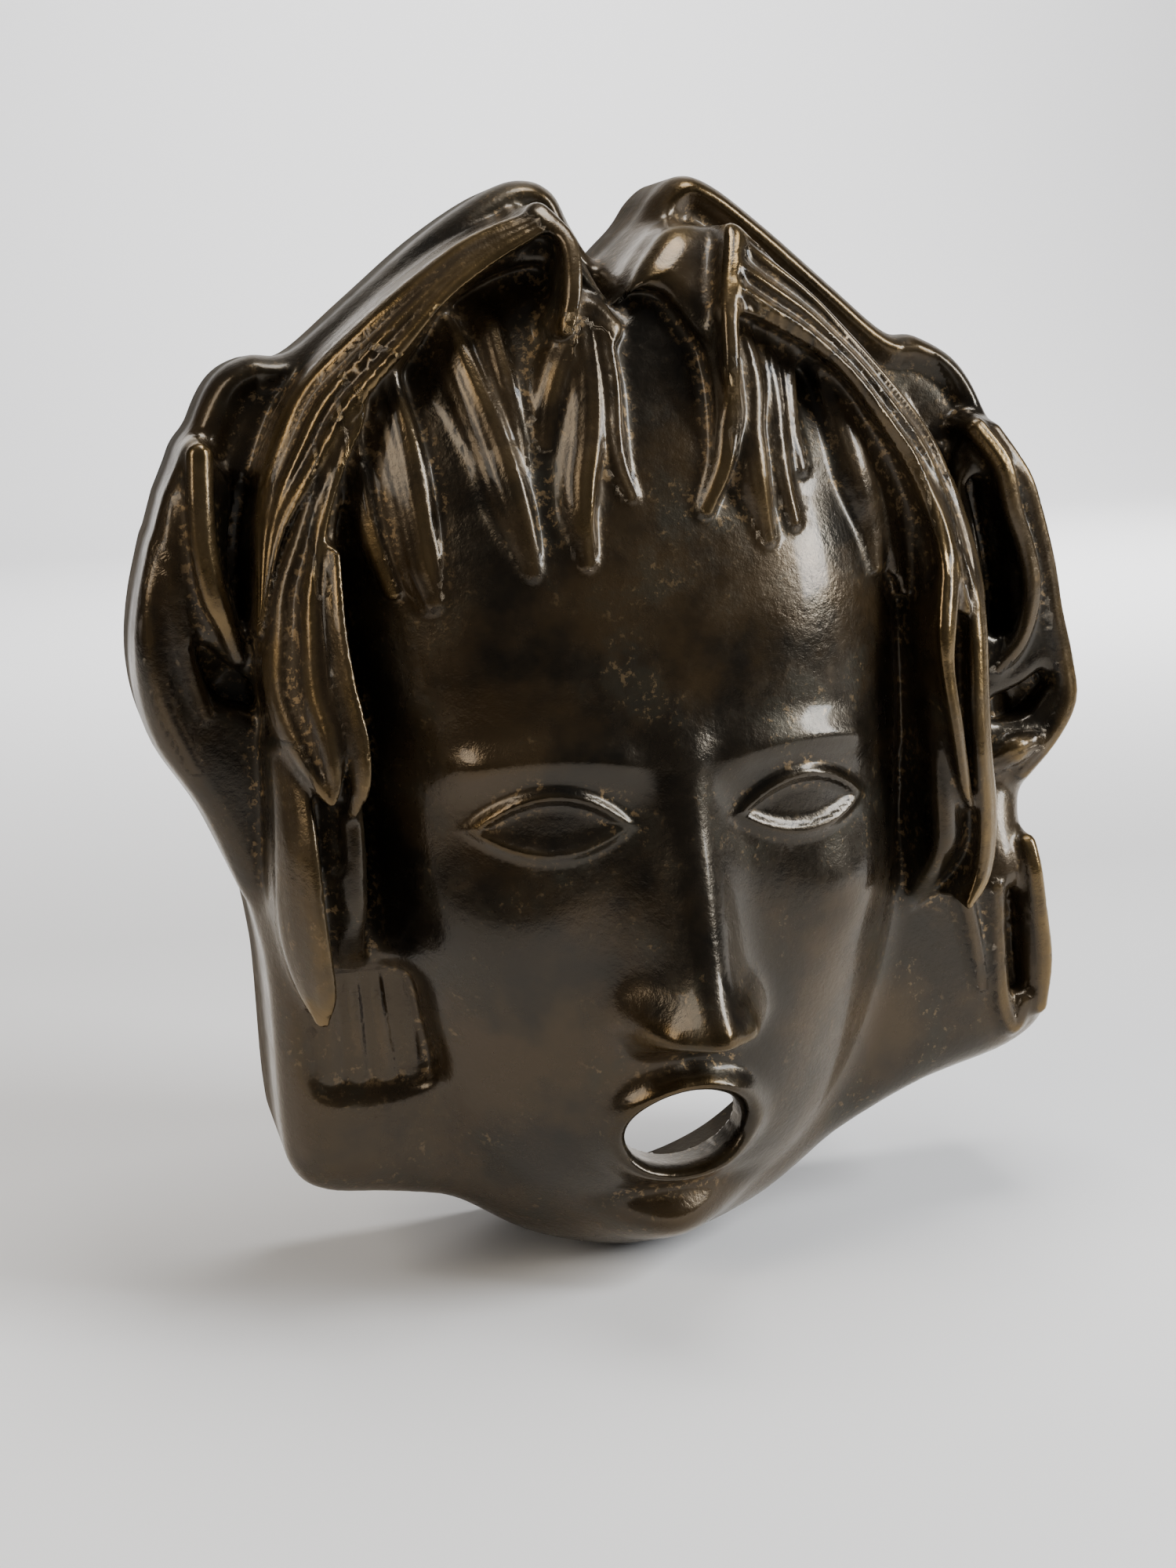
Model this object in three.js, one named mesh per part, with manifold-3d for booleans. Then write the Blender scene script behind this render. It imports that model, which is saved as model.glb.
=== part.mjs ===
// Bronze fountain mask: one hollow casting of a head with heavy parted hair, open at the back.
// Millimetres. x is to the right and z is up, with z = 0 at the top middle of the flat back rim.
// The wall plane is y = 0. Depths are measured forward of it, so depth d lies at y = -d.
import * as THREE from 'three';
import Module from 'manifold-3d';

const wasm = await Module();
wasm.setup();

// Casting
const WALL = 7;
const THINNEST = 5.5;
const LINING_FOLLOWS = 0.5;
const BRONZE = { color: 0x4a3a22, roughness: 0.32, metalness: 0.9 };

// Working grid and size of the finished solid
const CELL = 2.4;
const TRIANGLE_LIMIT = 9400;
const BACK_STOP = -5;
const GRID_LOW = [-164, -9, -336];
const GRID_HIGH = [174, 158, 42];

// Rear layer of hair: its outline seen from the front, as x, z
const REAR_OUTLINE = [
  [1, 4], [-7, 14], [-13, 25], [-22, 29], [-34, 26], [-55, 13], [-77, -5], [-98, -21], [-112, -22],
  [-123, -29], [-132, -47], [-142, -75], [-150, -100], [-152, -118], [-148, -138], [-136, -159],
  [-126, -185], [-121, -212], [-120, -262], [-117, -279], [-107, -287], [-85, -291], [-62, -297],
  [-35, -312], [0, -321], [38, -311], [70, -293], [102, -279], [136, -270], [151, -259], [154, -243],
  [150, -222], [145, -203], [144, -186], [150, -171], [160, -156], [162, -141], [157, -121],
  [148, -98], [141, -75], [136, -48], [127, -31], [112, -22], [100, -20], [80, -4], [58, 14],
  [40, 27], [29, 30], [20, 24], [12, 12],
];
const REAR_TOP = 44;
const REAR_WING = 50;
const REAR_BOTTOM = 64;
const REAR_ROUND = 17;

// Front layer of hair: the crest line above, and the sides down to the ledges where it is cut
const FRONT_OUTLINE = [
  [-8, -12], [-17, 8], [-28, 16], [-45, 9], [-68, -5], [-90, -24], [-106, -43], [-116, -68],
  [-117, -92], [-117, -140], [-119, -180], [-119, -205], [-114, -217], [-100, -221], [-84, -222],
  [-60, -240], [60, -240], [86, -218], [102, -212], [113, -204], [119, -185], [118, -150], [114, -110],
  [104, -66], [88, -42], [66, -19], [45, -2], [30, 11], [16, 12], [4, 2],
];
const FRONT_SINK = 9;
const FRONT_FALL = [-180, -228];
const FRONT_DROP = 34;
const FRONT_ROUND = 8;

// Window that the front layer leaves for the face and for the locks on the forehead
const FACE_WINDOW = [
  [-6, -10], [-16, -8], [-27, 1], [-42, -2], [-56, -11], [-69, -26], [-82, -40], [-91, -56], [-96, -80],
  [-96, -120], [-93, -160], [-93, -200], [-86, -228], [-76, -250], [-56, -330], [60, -330], [88, -262],
  [92, -210], [90, -150], [89, -100], [84, -72], [72, -54], [60, -36], [44, -26], [30, -18], [22, -30],
  [15, -20], [8, -9], [0, -7],
];
const FRONT_UNDER = 20;
const UNDER_FALL = [-55, -150];

// Dome that the front hair lies on: an ellipsoid, given by its centre height and half sizes
const DOME_Z = -175;
const DOME_HALF = [150, 124, 230];
const DOME_BACK = 4;

// Face: an egg with the features set out by thirds between hairline, brow, nose base and chin
const FACE_BACK = 22;
const FACE_FADE = 45;
const FACE_Z = -165;
const FACE_HALF = [99, 84, 158];
const HAIRLINE = -62;
const FACE_FULL = 2.6;
const FACE_TALL = 2.8;
const JAW_NARROWS = 0.1;
const CHIN = -316;
const THIRD = (HAIRLINE - CHIN) / 3;
const BROW = HAIRLINE - THIRD;
const NOSE_BASE = BROW - THIRD;
const EYE_LINE = (HAIRLINE + 62 + CHIN) / 2 - 4;
const EYE_WIDTH = 40;
const MOUTH = NOSE_BASE - THIRD / 3 - 3;
const SPOUT_HALF = [19.5, 14];

// Bands of ribbons along the crests: outer and inner guide, number of ribbons, height at start and end
const BANDS = [
  [
    [[-86, -38], [-97, -55], [-106, -71], [-114, -90], [-118, -112], [-116, -132], [-106, -149]],
    [[-84, -42], [-92, -58], [-98, -76], [-101, -98], [-100, -118], [-99, -136], [-102, -150]],
    2, -3, 1,
  ], [
    [[-30, 16], [-48, 10], [-64, 0], [-82, -14], [-98, -29], [-108, -45], [-115, -66], [-118, -98]],
    [[-27, 11], [-44, 1], [-58, -9], [-71, -23], [-84, -37], [-98, -57], [-109, -74], [-117, -100]],
    2, 2, 1,
  ], [
    [[32, 9], [46, -2], [60, -14], [74, -28], [88, -42], [101, -58], [110, -78], [115, -104]],
    [[25, -11], [36, -18], [49, -25], [61, -34], [72, -48], [83, -64], [92, -84], [99, -108]],
    3, 2, 0,
  ],
];
const RIBBON_RISE = 2.6;
const RIBBON_SKEW = 0.7;
const RIBBON_WAVE = 0.05;
const RIBBON_FADE = [2.5, 6];

// Locks of hair. Each path point is x, z, half width and height above what the lock lies on.
// First the locks of the forehead
const FRINGE_LOCKS = [
  [[-93, -47, 4, 8], [-95, -61, 4, 7], [-98, -77, 3.6, 5], [-99, -90, 2.2, 2]],
  [[-79, -32, 8, 8], [-77, -50, 9, 8], [-75, -68, 8.5, 6.5], [-73, -84, 6.5, 4], [-70, -94, 3, 1]],
  [[-87, -36, 3, 8], [-87, -54, 3.4, 7.5], [-85, -74, 3, 5], [-80, -92, 2, 1]],
  [
    [-58, -16, 5, 6], [-54, -33, 6, 8], [-50, -48, 6.5, 8], [-47, -63, 6, 6.5], [-44, -76, 4.5, 4],
    [-42, -86, 2.5, 1],
  ],
  [[-46, -16, 4, 4], [-45, -30, 4.5, 5.5], [-43, -46, 3.5, 4], [-42, -58, 2.2, 1.5]],
  [[-22, -18, 3.5, 9], [-28, -27, 4.5, 8.5], [-32, -38, 4, 6.5], [-34, -50, 2.5, 2]],
  [
    [-20, -18, 4, 9], [-21, -34, 5, 9], [-23, -48, 6, 8.5], [-26, -60, 5.5, 7], [-27, -72, 4.2, 5],
    [-26, -84, 2.5, 1],
  ],
  [[-14, -19, 3.5, 9], [-14, -34, 4, 8], [-15, -48, 4, 6.5], [-14, -58, 3, 4], [-11, -66, 2, 1]],
  [[-26, -17, 4, 9], [-18, -13, 5.5, 11.5], [-11, -18, 4, 9]],
  [[23, -30, 3.5, 11], [21, -45, 3.5, 11], [18, -58, 3, 8], [12, -71, 2, 3]],
  [[28, -14, 4, 12], [30, -33, 5.2, 11.5], [28, -49, 5.2, 10], [28, -63, 5, 7.5], [31, -80, 2.5, 1]],
  [[38, -18, 4, 10], [38, -42, 4, 8.5], [38, -60, 3.4, 5], [41, -76, 2, 1]],
  [[46, -22, 3.6, 10], [44, -42, 3.4, 7.5], [46, -60, 2.2, 2]],
  [[60, -32, 4.5, 10], [65, -53, 6.5, 10], [69, -68, 6.2, 7.5], [72, -80, 4.5, 4], [74, -93, 2.5, 1]],
  [[71, -41, 4, 9], [76, -59, 4.8, 8.5], [79, -78, 4.2, 5], [82, -94, 2, 1]],
  [[81, -50, 4, 8], [84, -71, 4.6, 6.5], [85, -90, 3.2, 3], [86, -101, 2, 1]],
];

// Low swellings under the locks of the forehead
const FRINGE_SWELLS = [
  [[-82, -34, 11, 3], [-78, -58, 11, 2.5], [-73, -80, 8, 0.5]],
  [[-48, -18, 13, 3], [-44, -42, 12, 2.5], [-41, -64, 8, 0.5]],
  [[-20, -22, 10, 4], [-22, -42, 10, 3], [-24, -62, 7, 0.5]],
  [[34, -22, 11, 5], [35, -44, 10, 4], [36, -64, 7, 0.5]],
  [[70, -44, 10, 4], [75, -64, 9, 3], [79, -84, 6, 0.5]],
];

// Rims of the parting, on both sides
const HOOD_RIMS = [
  [[-28, 16, 3, 2], [-22, 7, 2.6, 2], [-23, -6, 2.6, 1], [-26, -18, 2.2, -3]],
  [[31, 9, 3, 2], [26, -4, 2.8, 2], [23, -15, 2.8, 2], [22, -32, 2.6, -1], [21, -44, 2, -5]],
];

// Long locks down the sides of the face
const SIDE_LOCKS = [
  [
    [-97, -80, 2.3, -3], [-98, -100, 2.7, -1], [-97, -116, 2.8, -1], [-95, -131, 3, -1],
    [-95, -145, 2.7, -2], [-97, -154, 1.2, -6],
  ],
  [
    [-114, -138, 4, -4], [-113, -153, 5, -1], [-113, -166, 5.6, 2], [-113, -183, 6.3, 3],
    [-112, -197, 6.3, 3], [-110, -210, 5, 2], [-109, -219, 2, -2],
  ],
  [
    [88, -62, 2.7, -2], [94, -76, 3.8, 1], [96, -93, 4.3, 2], [92, -112, 4, 1], [92, -126, 2.8, -1],
    [95, -144, 2.6, -1], [99, -162, 2.2, -2], [103, -171, 1, -4],
  ],
  [
    [104, -70, 3.9, -1], [109, -90, 4.5, 2], [109, -112, 4.8, 3], [108, -134, 4.8, 2],
    [108, -154, 4.8, 2], [111, -176, 5, 2], [110, -194, 4.6, 1], [103, -204, 1.8, -2],
  ],
];

// Outer bunches of hair, as outlines, and the locks on them
const WING_LEFT = [
  [-128, -46], [-138, -56], [-147, -80], [-153, -108], [-150, -134], [-137, -158], [-124, -186],
  [-117, -170], [-115, -120], [-119, -70],
];
const WING_RIGHT = [
  [126, -48], [140, -62], [149, -90], [158, -118], [163, -142], [158, -160], [146, -174],
  [124, -172], [117, -140], [118, -90], [119, -60],
];
const WING_TOP = 52;
const WING_ROUND = 8;
const WING_LOCKS = [
  [
    [-130, -51, 4, 4], [-131, -64, 4, 7], [-131, -78, 4, 8], [-129, -92, 4, 8],
    [-126, -101, 3.2, 6], [-123, -111, 1.6, 2],
  ],
  [[-137, -64, 2.4, -2], [-140, -84, 3, 1.5], [-139, -106, 3, 1], [-134, -128, 2.5, -2]],
  [[-143, -78, 2.4, -3], [-147, -98, 3, 0], [-146, -122, 3, 0], [-138, -144, 2.5, -3]],
  [
    [123, -53, 3.6, 4], [131, -65, 3.8, 7], [135, -80, 3.6, 7], [140, -92, 3.4, 6],
    [143, -105, 3.4, 6], [142, -117, 3.2, 5], [138, -127, 2.8, 4], [132, -134, 1.5, 1],
  ],
  [
    [131, -55, 3, 0], [141, -69, 3, 2], [146, -82, 3, 2], [151, -100, 3, 2], [154, -116, 3, 2],
    [158, -133, 3.4, 2], [159, -147, 3.4, 3], [151, -160, 3.1, 4], [142, -170, 3, 2],
  ],
  [[130, -166, 4, 3], [137, -162, 5, 7], [146, -160, 3, 4]],
];

// Locks and flutes low on the rear layer
const LOWER_LOCKS = [
  [[114, -210, 2.4, 2], [118, -227, 2.4, 2], [121, -242, 1.8, 0]],
  [[126, -208, 2.6, 1], [127, -232, 2.6, 2], [129, -250, 2.7, 2], [134, -258, 2.8, 1], [138, -250, 2.4, 0]],
  [[140, -194, 3, 1], [143, -218, 3.2, 2], [145, -236, 3.4, 2], [144, -252, 2.8, 1]],
];
const FLUTES_LEFT = [
  [[-105, -208, 2.4, -2], [-104, -228, 2.8, -2], [-104, -244, 2.4, -3.5]],
  [[-83, -208, 2.4, -2], [-80, -228, 2.8, -2], [-78, -245, 2.4, -3.5]],
];

// Hollows between the locks, as x, z, half width and depth of the floor below the hair
const HOLLOWS = [
  [[-104, -154, 2, 9], [-104, -160, 2.6, 11], [-104, -168, 2, 9]],
  [[101, -118, 1.2, 6], [101, -134, 2.2, 8], [103, -156, 1.5, 6]],
];
const WING_HOLLOWS = [
  [[-134, -110, 3, 8], [-128, -119, 5, 14], [-119, -124, 4, 12]],
  [[126, -72, 3, 10], [132, -96, 4, 16], [134, -118, 4, 14]],
  [[150, -140, 3, 8], [143, -146, 5, 12], [134, -148, 4, 6]],
  [[-116, -28, 3, 11], [-122, -39, 4, 13], [-126, -50, 2.5, 11]],
  [[109, -30, 3, 11], [114, -40, 4, 13], [118, -52, 3, 11]],
  [[-117, -62, 2, 14], [-121, -80, 2.5, 18], [-120, -100, 2.5, 18]],
  [[134, -212, 2, -4], [135, -230, 3, -2], [136, -244, 2.5, -4]],
];

// Fluted pocket under the left side lock, as an outline, and its depth below the rear layer
const POCKET = [
  [-106, -212], [-92, -210], [-79, -212], [-75, -228], [-72, -245], [-82, -250], [-97, -250], [-108, -247],
  [-110, -230],
];
const POCKET_DEPTH = 4.5;

// How the locks and hollows are shaped: a tilt lifts the side that lies to the left of the path,
// an edge is how far a form is rounded, a blend is how widely it runs into what it lies on
const FLUTE_COUNT = 4;
const SIDE_TILT = 0.25;
const FRINGE_TILT = 0.3;
const REAR_DIP = 9;
const BAND_EDGE = 2;
const LOCK_EDGE = 7;
const SWELL_EDGE = 10;
const LOCK_BLEND = 4;
const HOLLOW_BLEND = 6;
const MASS_BLEND = 9;

function smooth(low, high, value) {
  const share = THREE.MathUtils.clamp((value - low) / (high - low), 0, 1);
  return share * share * (3 - 2 * share);
}
const bell = (value) => Math.exp(-value * value);

// Two forms joined, one cut out of the other, and what they share, with a rounded meeting line
function join(a, b, round) {
  const near = Math.max(round - Math.abs(a - b), 0) / round;
  return Math.min(a, b) - near * near * round / 4;
}
const cut = (a, b, round) => -join(-a, b, round);
const overlap = (a, b, round) => -join(-a, -b, round);

// Distance to a raised form: inside its outline by "side" and under its top, with a rounded edge
function raised(side, depth, top, round) {
  const a = side + round;
  const b = depth - top + round;
  return Math.min(Math.max(a, b), 0) + Math.hypot(Math.max(a, 0), Math.max(b, 0)) - round;
}

function domeTop(x, z) {
  const level = 1 - (x / DOME_HALF[0]) ** 2 - ((z - DOME_Z) / DOME_HALF[2]) ** 2;
  return DOME_BACK + DOME_HALF[1] * Math.sqrt(Math.max(level, 0));
}

function rearTop(x, z) {
  const wing = REAR_TOP + (REAR_WING - REAR_TOP) * smooth(-30, -70, z);
  return wing + (REAR_BOTTOM - REAR_WING) * smooth(-160, -205, z);
}

// Depth of the plain egg of the face, seen from the front
function skinTop(x, z) {
  const down = (z - FACE_Z) / FACE_HALF[2];
  const half = FACE_HALF[0] * (1 + JAW_NARROWS * down);
  const level = 1 - Math.abs(x / half) ** FACE_FULL - Math.abs(down) ** FACE_TALL;
  return FACE_BACK + FACE_HALF[1] * Math.sqrt(Math.max(level, 0));
}
const fringeTop = (x, z) => Math.max(skinTop(x, z), domeTop(x, z) - FRONT_UNDER - 1);
const wingTop = () => WING_TOP;

// Closed smooth outline through the given points, as a list of x, z
function outline(points, steps = 6) {
  const through = points.map(([x, z]) => new THREE.Vector3(x, 0, z));
  const curve = new THREE.CatmullRomCurve3(through, true, 'catmullrom', 0.5);
  return curve.getPoints(points.length * steps).slice(0, -1).map((p) => [p.x, p.z]);
}

// Signed distance from a point to a closed outline, below zero inside it
function outlineDistance(points, x, z) {
  let nearest = Infinity;
  let inside = false;
  for (let i = 0, j = points.length - 1; i < points.length; j = i, i += 1) {
    const [ax, az] = points[j];
    const [bx, bz] = points[i];
    const ex = bx - ax;
    const ez = bz - az;
    const along = THREE.MathUtils.clamp(((x - ax) * ex + (z - az) * ez) / (ex * ex + ez * ez), 0, 1);
    nearest = Math.min(nearest, Math.hypot(x - ax - ex * along, z - az - ez * along));
    if ((az > z) !== (bz > z) && x < (ex * (z - az)) / ez + ax) inside = !inside;
  }
  return inside ? -nearest : nearest;
}

// Lock path as a list of x, z, half width and height along a smooth curve
function lockPath(points, steps = 4) {
  const last = points.length - 1;
  const [at, build] = [0, 2].map((n) => {
    const through = points.map((p) => new THREE.Vector3(p[n], 0, p[n + 1]));
    return new THREE.CatmullRomCurve3(through, false, 'catmullrom', 0.5);
  });
  return Array.from({ length: last * steps + 1 }, (_, i) => {
    const { x, z } = at.getPoint(i / (last * steps));
    const { x: half, z: height } = build.getPoint(i / (last * steps));
    return [x, z, half, height];
  });
}

// Nearest place on a path: distance, signed distance to its left, half width, height and run
function nearestOnPath(path, x, z) {
  let best = { distance: Infinity };
  let gone = 0;
  for (let i = 1; i < path.length; i += 1) {
    const [ax, az, aw, ah] = path[i - 1];
    const [bx, bz, bw, bh] = path[i];
    const ex = bx - ax;
    const ez = bz - az;
    const length = Math.hypot(ex, ez);
    const along = THREE.MathUtils.clamp(((x - ax) * ex + (z - az) * ez) / length ** 2, 0, 1);
    const dx = x - ax - ex * along;
    const dz = z - az - ez * along;
    const distance = Math.hypot(dx, dz);
    if (distance < best.distance) {
      const left = (ex * dz - ez * dx) / length;
      const half = aw + (bw - aw) * along;
      const height = ah + (bh - ah) * along;
      best = { distance, left, half, height, run: gone + along * length };
    }
    gone += length;
  }
  return best;
}

// Paths spread evenly between two guide paths with the same number of points
function family([first, second], count) {
  return Array.from({ length: count }, (_, i) => {
    const share = i / (count - 1);
    return first.map((point, k) => point.map((value, n) => value + (second[k][n] - value) * share));
  });
}

// Relief of the face over its egg, in depth
function faceRelief(x, z) {
  const ax = Math.abs(x);
  const browLine = BROW + 5 * (1 - ((ax - EYE_WIDTH) / 32) ** 2);
  const brow = 3.4 * bell((z - browLine) / 6.5) * smooth(6, 20, ax) * (1 - smooth(58, 76, ax));
  const socket = -8.5 * bell((ax - EYE_WIDTH + 2) / 23) * bell((z - EYE_LINE) / 12.5);
  const across = (ax - EYE_WIDTH) / (EYE_WIDTH / 2);
  const open = 1 - across * across;
  const rise = z - EYE_LINE;
  const lidEdge = Math.max(rise - 8 * open, -rise - 6 * open);
  const ball = 8 * Math.exp(-0.9 * across * across - (rise / 12) ** 2);
  const lids = (rise > 0 ? 3 : 2.2) * bell((lidEdge - 1.8) / 2.3) * Math.exp(-((across / 1.25) ** 6));
  const down = THREE.MathUtils.clamp((BROW - z) / (BROW - NOSE_BASE - 7), 0, 1);
  const bridge = z > BROW ? 5 * bell((z - BROW) / 14) : 5 + 22 * down ** 1.2;
  const below = z < NOSE_BASE + 7 ? bell((z - NOSE_BASE - 7) / 7) : 1;
  const nose = bridge * below * Math.exp(-((ax / (10.5 + 5.5 * down)) ** 2.2));
  const tip = 5 * bell(x / 10) * bell((z - NOSE_BASE - 10) / 9);
  const wings = 10 * bell((ax - 15) / 7) * bell((z - NOSE_BASE - 8) / 8.5);
  const muzzle = 7 * bell(x / 30) * bell((z - MOUTH) / 26);
  const lipEdge = (Math.hypot(x / SPOUT_HALF[0], (z - MOUTH) / SPOUT_HALF[1]) - 1) * 16;
  const lips = 5.5 * bell((lipEdge - 3.5) / 4.2) * (1 - 0.45 * smooth(12, 26, ax));
  const philtrum = -1.5 * bell(x / 3.5) * bell((z - (NOSE_BASE + MOUTH + 16) / 2) / 6);
  const crease = -3 * bell(x / 22) * bell((z - CHIN - 27) / 5);
  const chin = 11 * bell(x / 22) * bell((z - CHIN - 13) / 13);
  const cheek = 5 * bell((ax - 58) / 22) * bell((z - EYE_LINE + 32) / 20);
  const hollow = -1.5 * bell((ax - 58) / 18) * bell((z - MOUTH - 20) / 24);
  const middle = nose + tip + wings + muzzle + lips + philtrum + crease + chin;
  return brow + socket + ball + lids + middle + cheek + hollow;
}

// Distance to the plain egg of the face, which has straight sides behind its widest place
function faceEgg(x, depth, z) {
  const down = (z - FACE_Z) / FACE_HALF[2];
  const half = FACE_HALF[0] * (1 + JAW_NARROWS * down);
  const forward = Math.max(depth - FACE_BACK, 0) / FACE_HALF[1];
  const level = Math.abs(x / half) ** FACE_FULL + Math.abs(down) ** FACE_TALL + forward ** 2;
  return FACE_HALF[1] * (Math.sqrt(level) - 1);
}

// Grid of distances, worked column by column because every form is drawn from the front
const size = GRID_LOW.map((low, i) => Math.ceil((GRID_HIGH[i] - low) / CELL) + 1);
const place = (axis, i) => GRID_LOW[axis] + i * CELL;
const field = new Float32Array(size[0] * size[1] * size[2]).fill(1e3);
const cavity = new Float32Array(field.length).fill(1e3);

function forColumns(box, work) {
  const cells = (corner) => [0, 2].map((axis, k) => (corner[k] - GRID_LOW[axis]) / CELL);
  const from = cells(box[0]).map((count) => Math.max(0, Math.floor(count)));
  const to = cells(box[1]).map((count, k) => Math.min(size[2 * k] - 1, Math.ceil(count)));
  for (let i = from[0]; i <= to[0]; i += 1) {
    for (let k = from[1]; k <= to[1]; k += 1) work(place(0, i), place(2, k), (i * size[2] + k) * size[1]);
  }
}
const WHOLE = [[GRID_LOW[0], GRID_LOW[2]], [GRID_HIGH[0], GRID_HIGH[2]]];

// Box around points, wider by a margin and by the greatest half width where they have one
function boxAround(points, least) {
  const margin = least + Math.max(0, ...points.map((p) => p[2] ?? 0));
  const low = [0, 1].map((n) => Math.min(...points.map((p) => p[n])) - margin);
  const high = [0, 1].map((n) => Math.max(...points.map((p) => p[n])) + margin);
  return [low, high];
}

// Main masses, and the hollow inside them
function addMasses() {
  const rear = outline(REAR_OUTLINE);
  const crest = outline(FRONT_OUTLINE);
  const window = outline(FACE_WINDOW);
  forColumns(WHOLE, (x, z, start) => {
    const rearSide = outlineDistance(rear, x, z);
    const wholeSide = outlineDistance(crest, x, z);
    const frontSide = Math.max(wholeSide, -outlineDistance(window, x, z));
    const relief = faceRelief(x, z);
    const dome = domeTop(x, z);
    const underTop = dome - FRONT_UNDER - dome * smooth(...UNDER_FALL, z);
    const sheet = dome - FRONT_SINK - FRONT_DROP * (1 - smooth(FRONT_FALL[1], FRONT_FALL[0], z));
    const dip = REAR_DIP * smooth(3, 13, -rearSide) * smooth(-150, -90, z);
    for (let j = 0; j < size[1]; j += 1) {
      const depth = place(1, j);
      const egg = faceEgg(x, depth, z);
      const front = smooth(FACE_BACK, FACE_BACK + FACE_FADE, depth);
      const shell = raised(rearSide, depth, rearTop(x, z) - dip, REAR_ROUND);
      const hair = raised(frontSide, depth, sheet, FRONT_ROUND);
      const under = raised(wholeSide, depth, underTop, FRONT_ROUND);
      const behind = join(shell, under, MASS_BLEND);
      const skin = join(behind, egg - relief * front, MASS_BLEND);
      const plain = join(behind, egg - Math.max(relief, 0) * LINING_FOLLOWS * front, MASS_BLEND);
      field[start + j] = join(skin, hair, MASS_BLEND / 2);
      cavity[start + j] = join(plain, hair, MASS_BLEND) + WALL;
    }
  });
}

// Band of overlapping ribbons between two guides. Two waves of different lengths keep it uneven.
function addBand([outer, inner, count, first, last]) {
  const guides = [outer, inner].map((guide) => lockPath(guide.map(([x, z]) => [x, z, 0, 0])));
  const steps = outer.slice(1).map(([x, z], i) => Math.hypot(x - outer[i][0], z - outer[i][1]));
  const length = steps.reduce((sum, step) => sum + step, 0);
  const edge = outline([...outer, ...[...inner].reverse()]);
  forColumns(boxAround(edge, 12), (x, z, start) => {
    const [toOuter, toInner] = guides.map((guide) => nearestOnPath(guide, x, z));
    const width = Math.max(toOuter.distance + toInner.distance, 0.01);
    const share = toOuter.distance / width;
    const along = THREE.MathUtils.clamp(toOuter.run / length, 0, 1);
    const wave = RIBBON_WAVE * (Math.sin(toOuter.run / 11) + 0.6 * Math.sin(toOuter.run / 4.7 + 2));
    const turn = THREE.MathUtils.euclideanModulo(share * count + wave, 1);
    const fade = smooth(...RIBBON_FADE, width / count);
    const ribbon = -RIBBON_RISE / 2 * fade * Math.cos(2 * Math.PI * turn ** RIBBON_SKEW);
    const top = domeTop(x, z) + first + (last - first) * along + ribbon;
    const side = outlineDistance(edge, x, z);
    for (let j = 0; j < size[1]; j += 1) {
      field[start + j] = join(field[start + j], raised(side, place(1, j), top, BAND_EDGE), LOCK_BLEND);
    }
  });
}

function addLock(points, base, tilt, edge) {
  const path = lockPath(points);
  forColumns(boxAround(path, 8), (x, z, start) => {
    const near = nearestOnPath(path, x, z);
    const lean = tilt * THREE.MathUtils.clamp(near.left, -near.half, near.half);
    const top = base(x, z) + near.height + lean;
    const round = Math.min(near.half * 0.9, edge);
    for (let j = 0; j < size[1]; j += 1) {
      const lock = raised(near.distance - near.half, place(1, j), top, round);
      field[start + j] = join(field[start + j], lock, LOCK_BLEND);
    }
  });
}

function addHollow(points, base) {
  const path = lockPath(points);
  forColumns(boxAround(path, 8), (x, z, start) => {
    const near = nearestOnPath(path, x, z);
    const floor = base(x, z) - near.height;
    for (let j = 0; j < size[1]; j += 1) {
      const space = Math.max(near.distance - near.half, floor - place(1, j));
      field[start + j] = cut(field[start + j], space, HOLLOW_BLEND);
    }
  });
}

function addPocket(points, below) {
  const edge = outline(points);
  forColumns(boxAround(edge, 14), (x, z, start) => {
    const side = outlineDistance(edge, x, z);
    const floor = rearTop(x, z) - below;
    for (let j = 0; j < size[1]; j += 1) {
      const space = overlap(side, floor - place(1, j), HOLLOW_BLEND);
      field[start + j] = cut(field[start + j], space, HOLLOW_BLEND);
    }
  });
}

function addWing(points) {
  const edge = outline(points);
  forColumns(boxAround(edge, 14), (x, z, start) => {
    const side = outlineDistance(edge, x, z);
    for (let j = 0; j < size[1]; j += 1) {
      const wing = raised(side, place(1, j), WING_TOP, WING_ROUND);
      field[start + j] = join(field[start + j], wing, HOLLOW_BLEND);
    }
  });
}

// Open the hollow and the mouth through the finished outside
function hollowOut() {
  forColumns(WHOLE, (x, z, start) => {
    const spout = (Math.hypot(x / SPOUT_HALF[0], (z - MOUTH) / SPOUT_HALF[1]) - 1) * SPOUT_HALF[1];
    for (let j = 0; j < size[1]; j += 1) {
      const inner = overlap(cavity[start + j], field[start + j] + THINNEST, HOLLOW_BLEND);
      const open = Math.min(inner, spout);
      field[start + j] = Math.max(cut(field[start + j], open, LOCK_BLEND), BACK_STOP - place(1, j));
    }
  });
}

addMasses();
[WING_LEFT, WING_RIGHT].forEach(addWing);
HOLLOWS.forEach((points) => addHollow(points, domeTop));
WING_HOLLOWS.forEach((points) => addHollow(points, wingTop));
addPocket(POCKET, POCKET_DEPTH);
BANDS.forEach(addBand);
family(FLUTES_LEFT, FLUTE_COUNT).forEach((points) => addLock(points, rearTop, 0, BAND_EDGE));
LOWER_LOCKS.forEach((points) => addLock(points, rearTop, 0, LOCK_EDGE));
SIDE_LOCKS.forEach((points) => addLock(points, domeTop, SIDE_TILT, LOCK_EDGE));
FRINGE_SWELLS.forEach((points) => addLock(points, fringeTop, 0, SWELL_EDGE));
FRINGE_LOCKS.forEach((points) => addLock(points, fringeTop, FRINGE_TILT, LOCK_EDGE));
HOOD_RIMS.forEach((points) => addLock(points, domeTop, 0, LOCK_EDGE));
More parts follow.
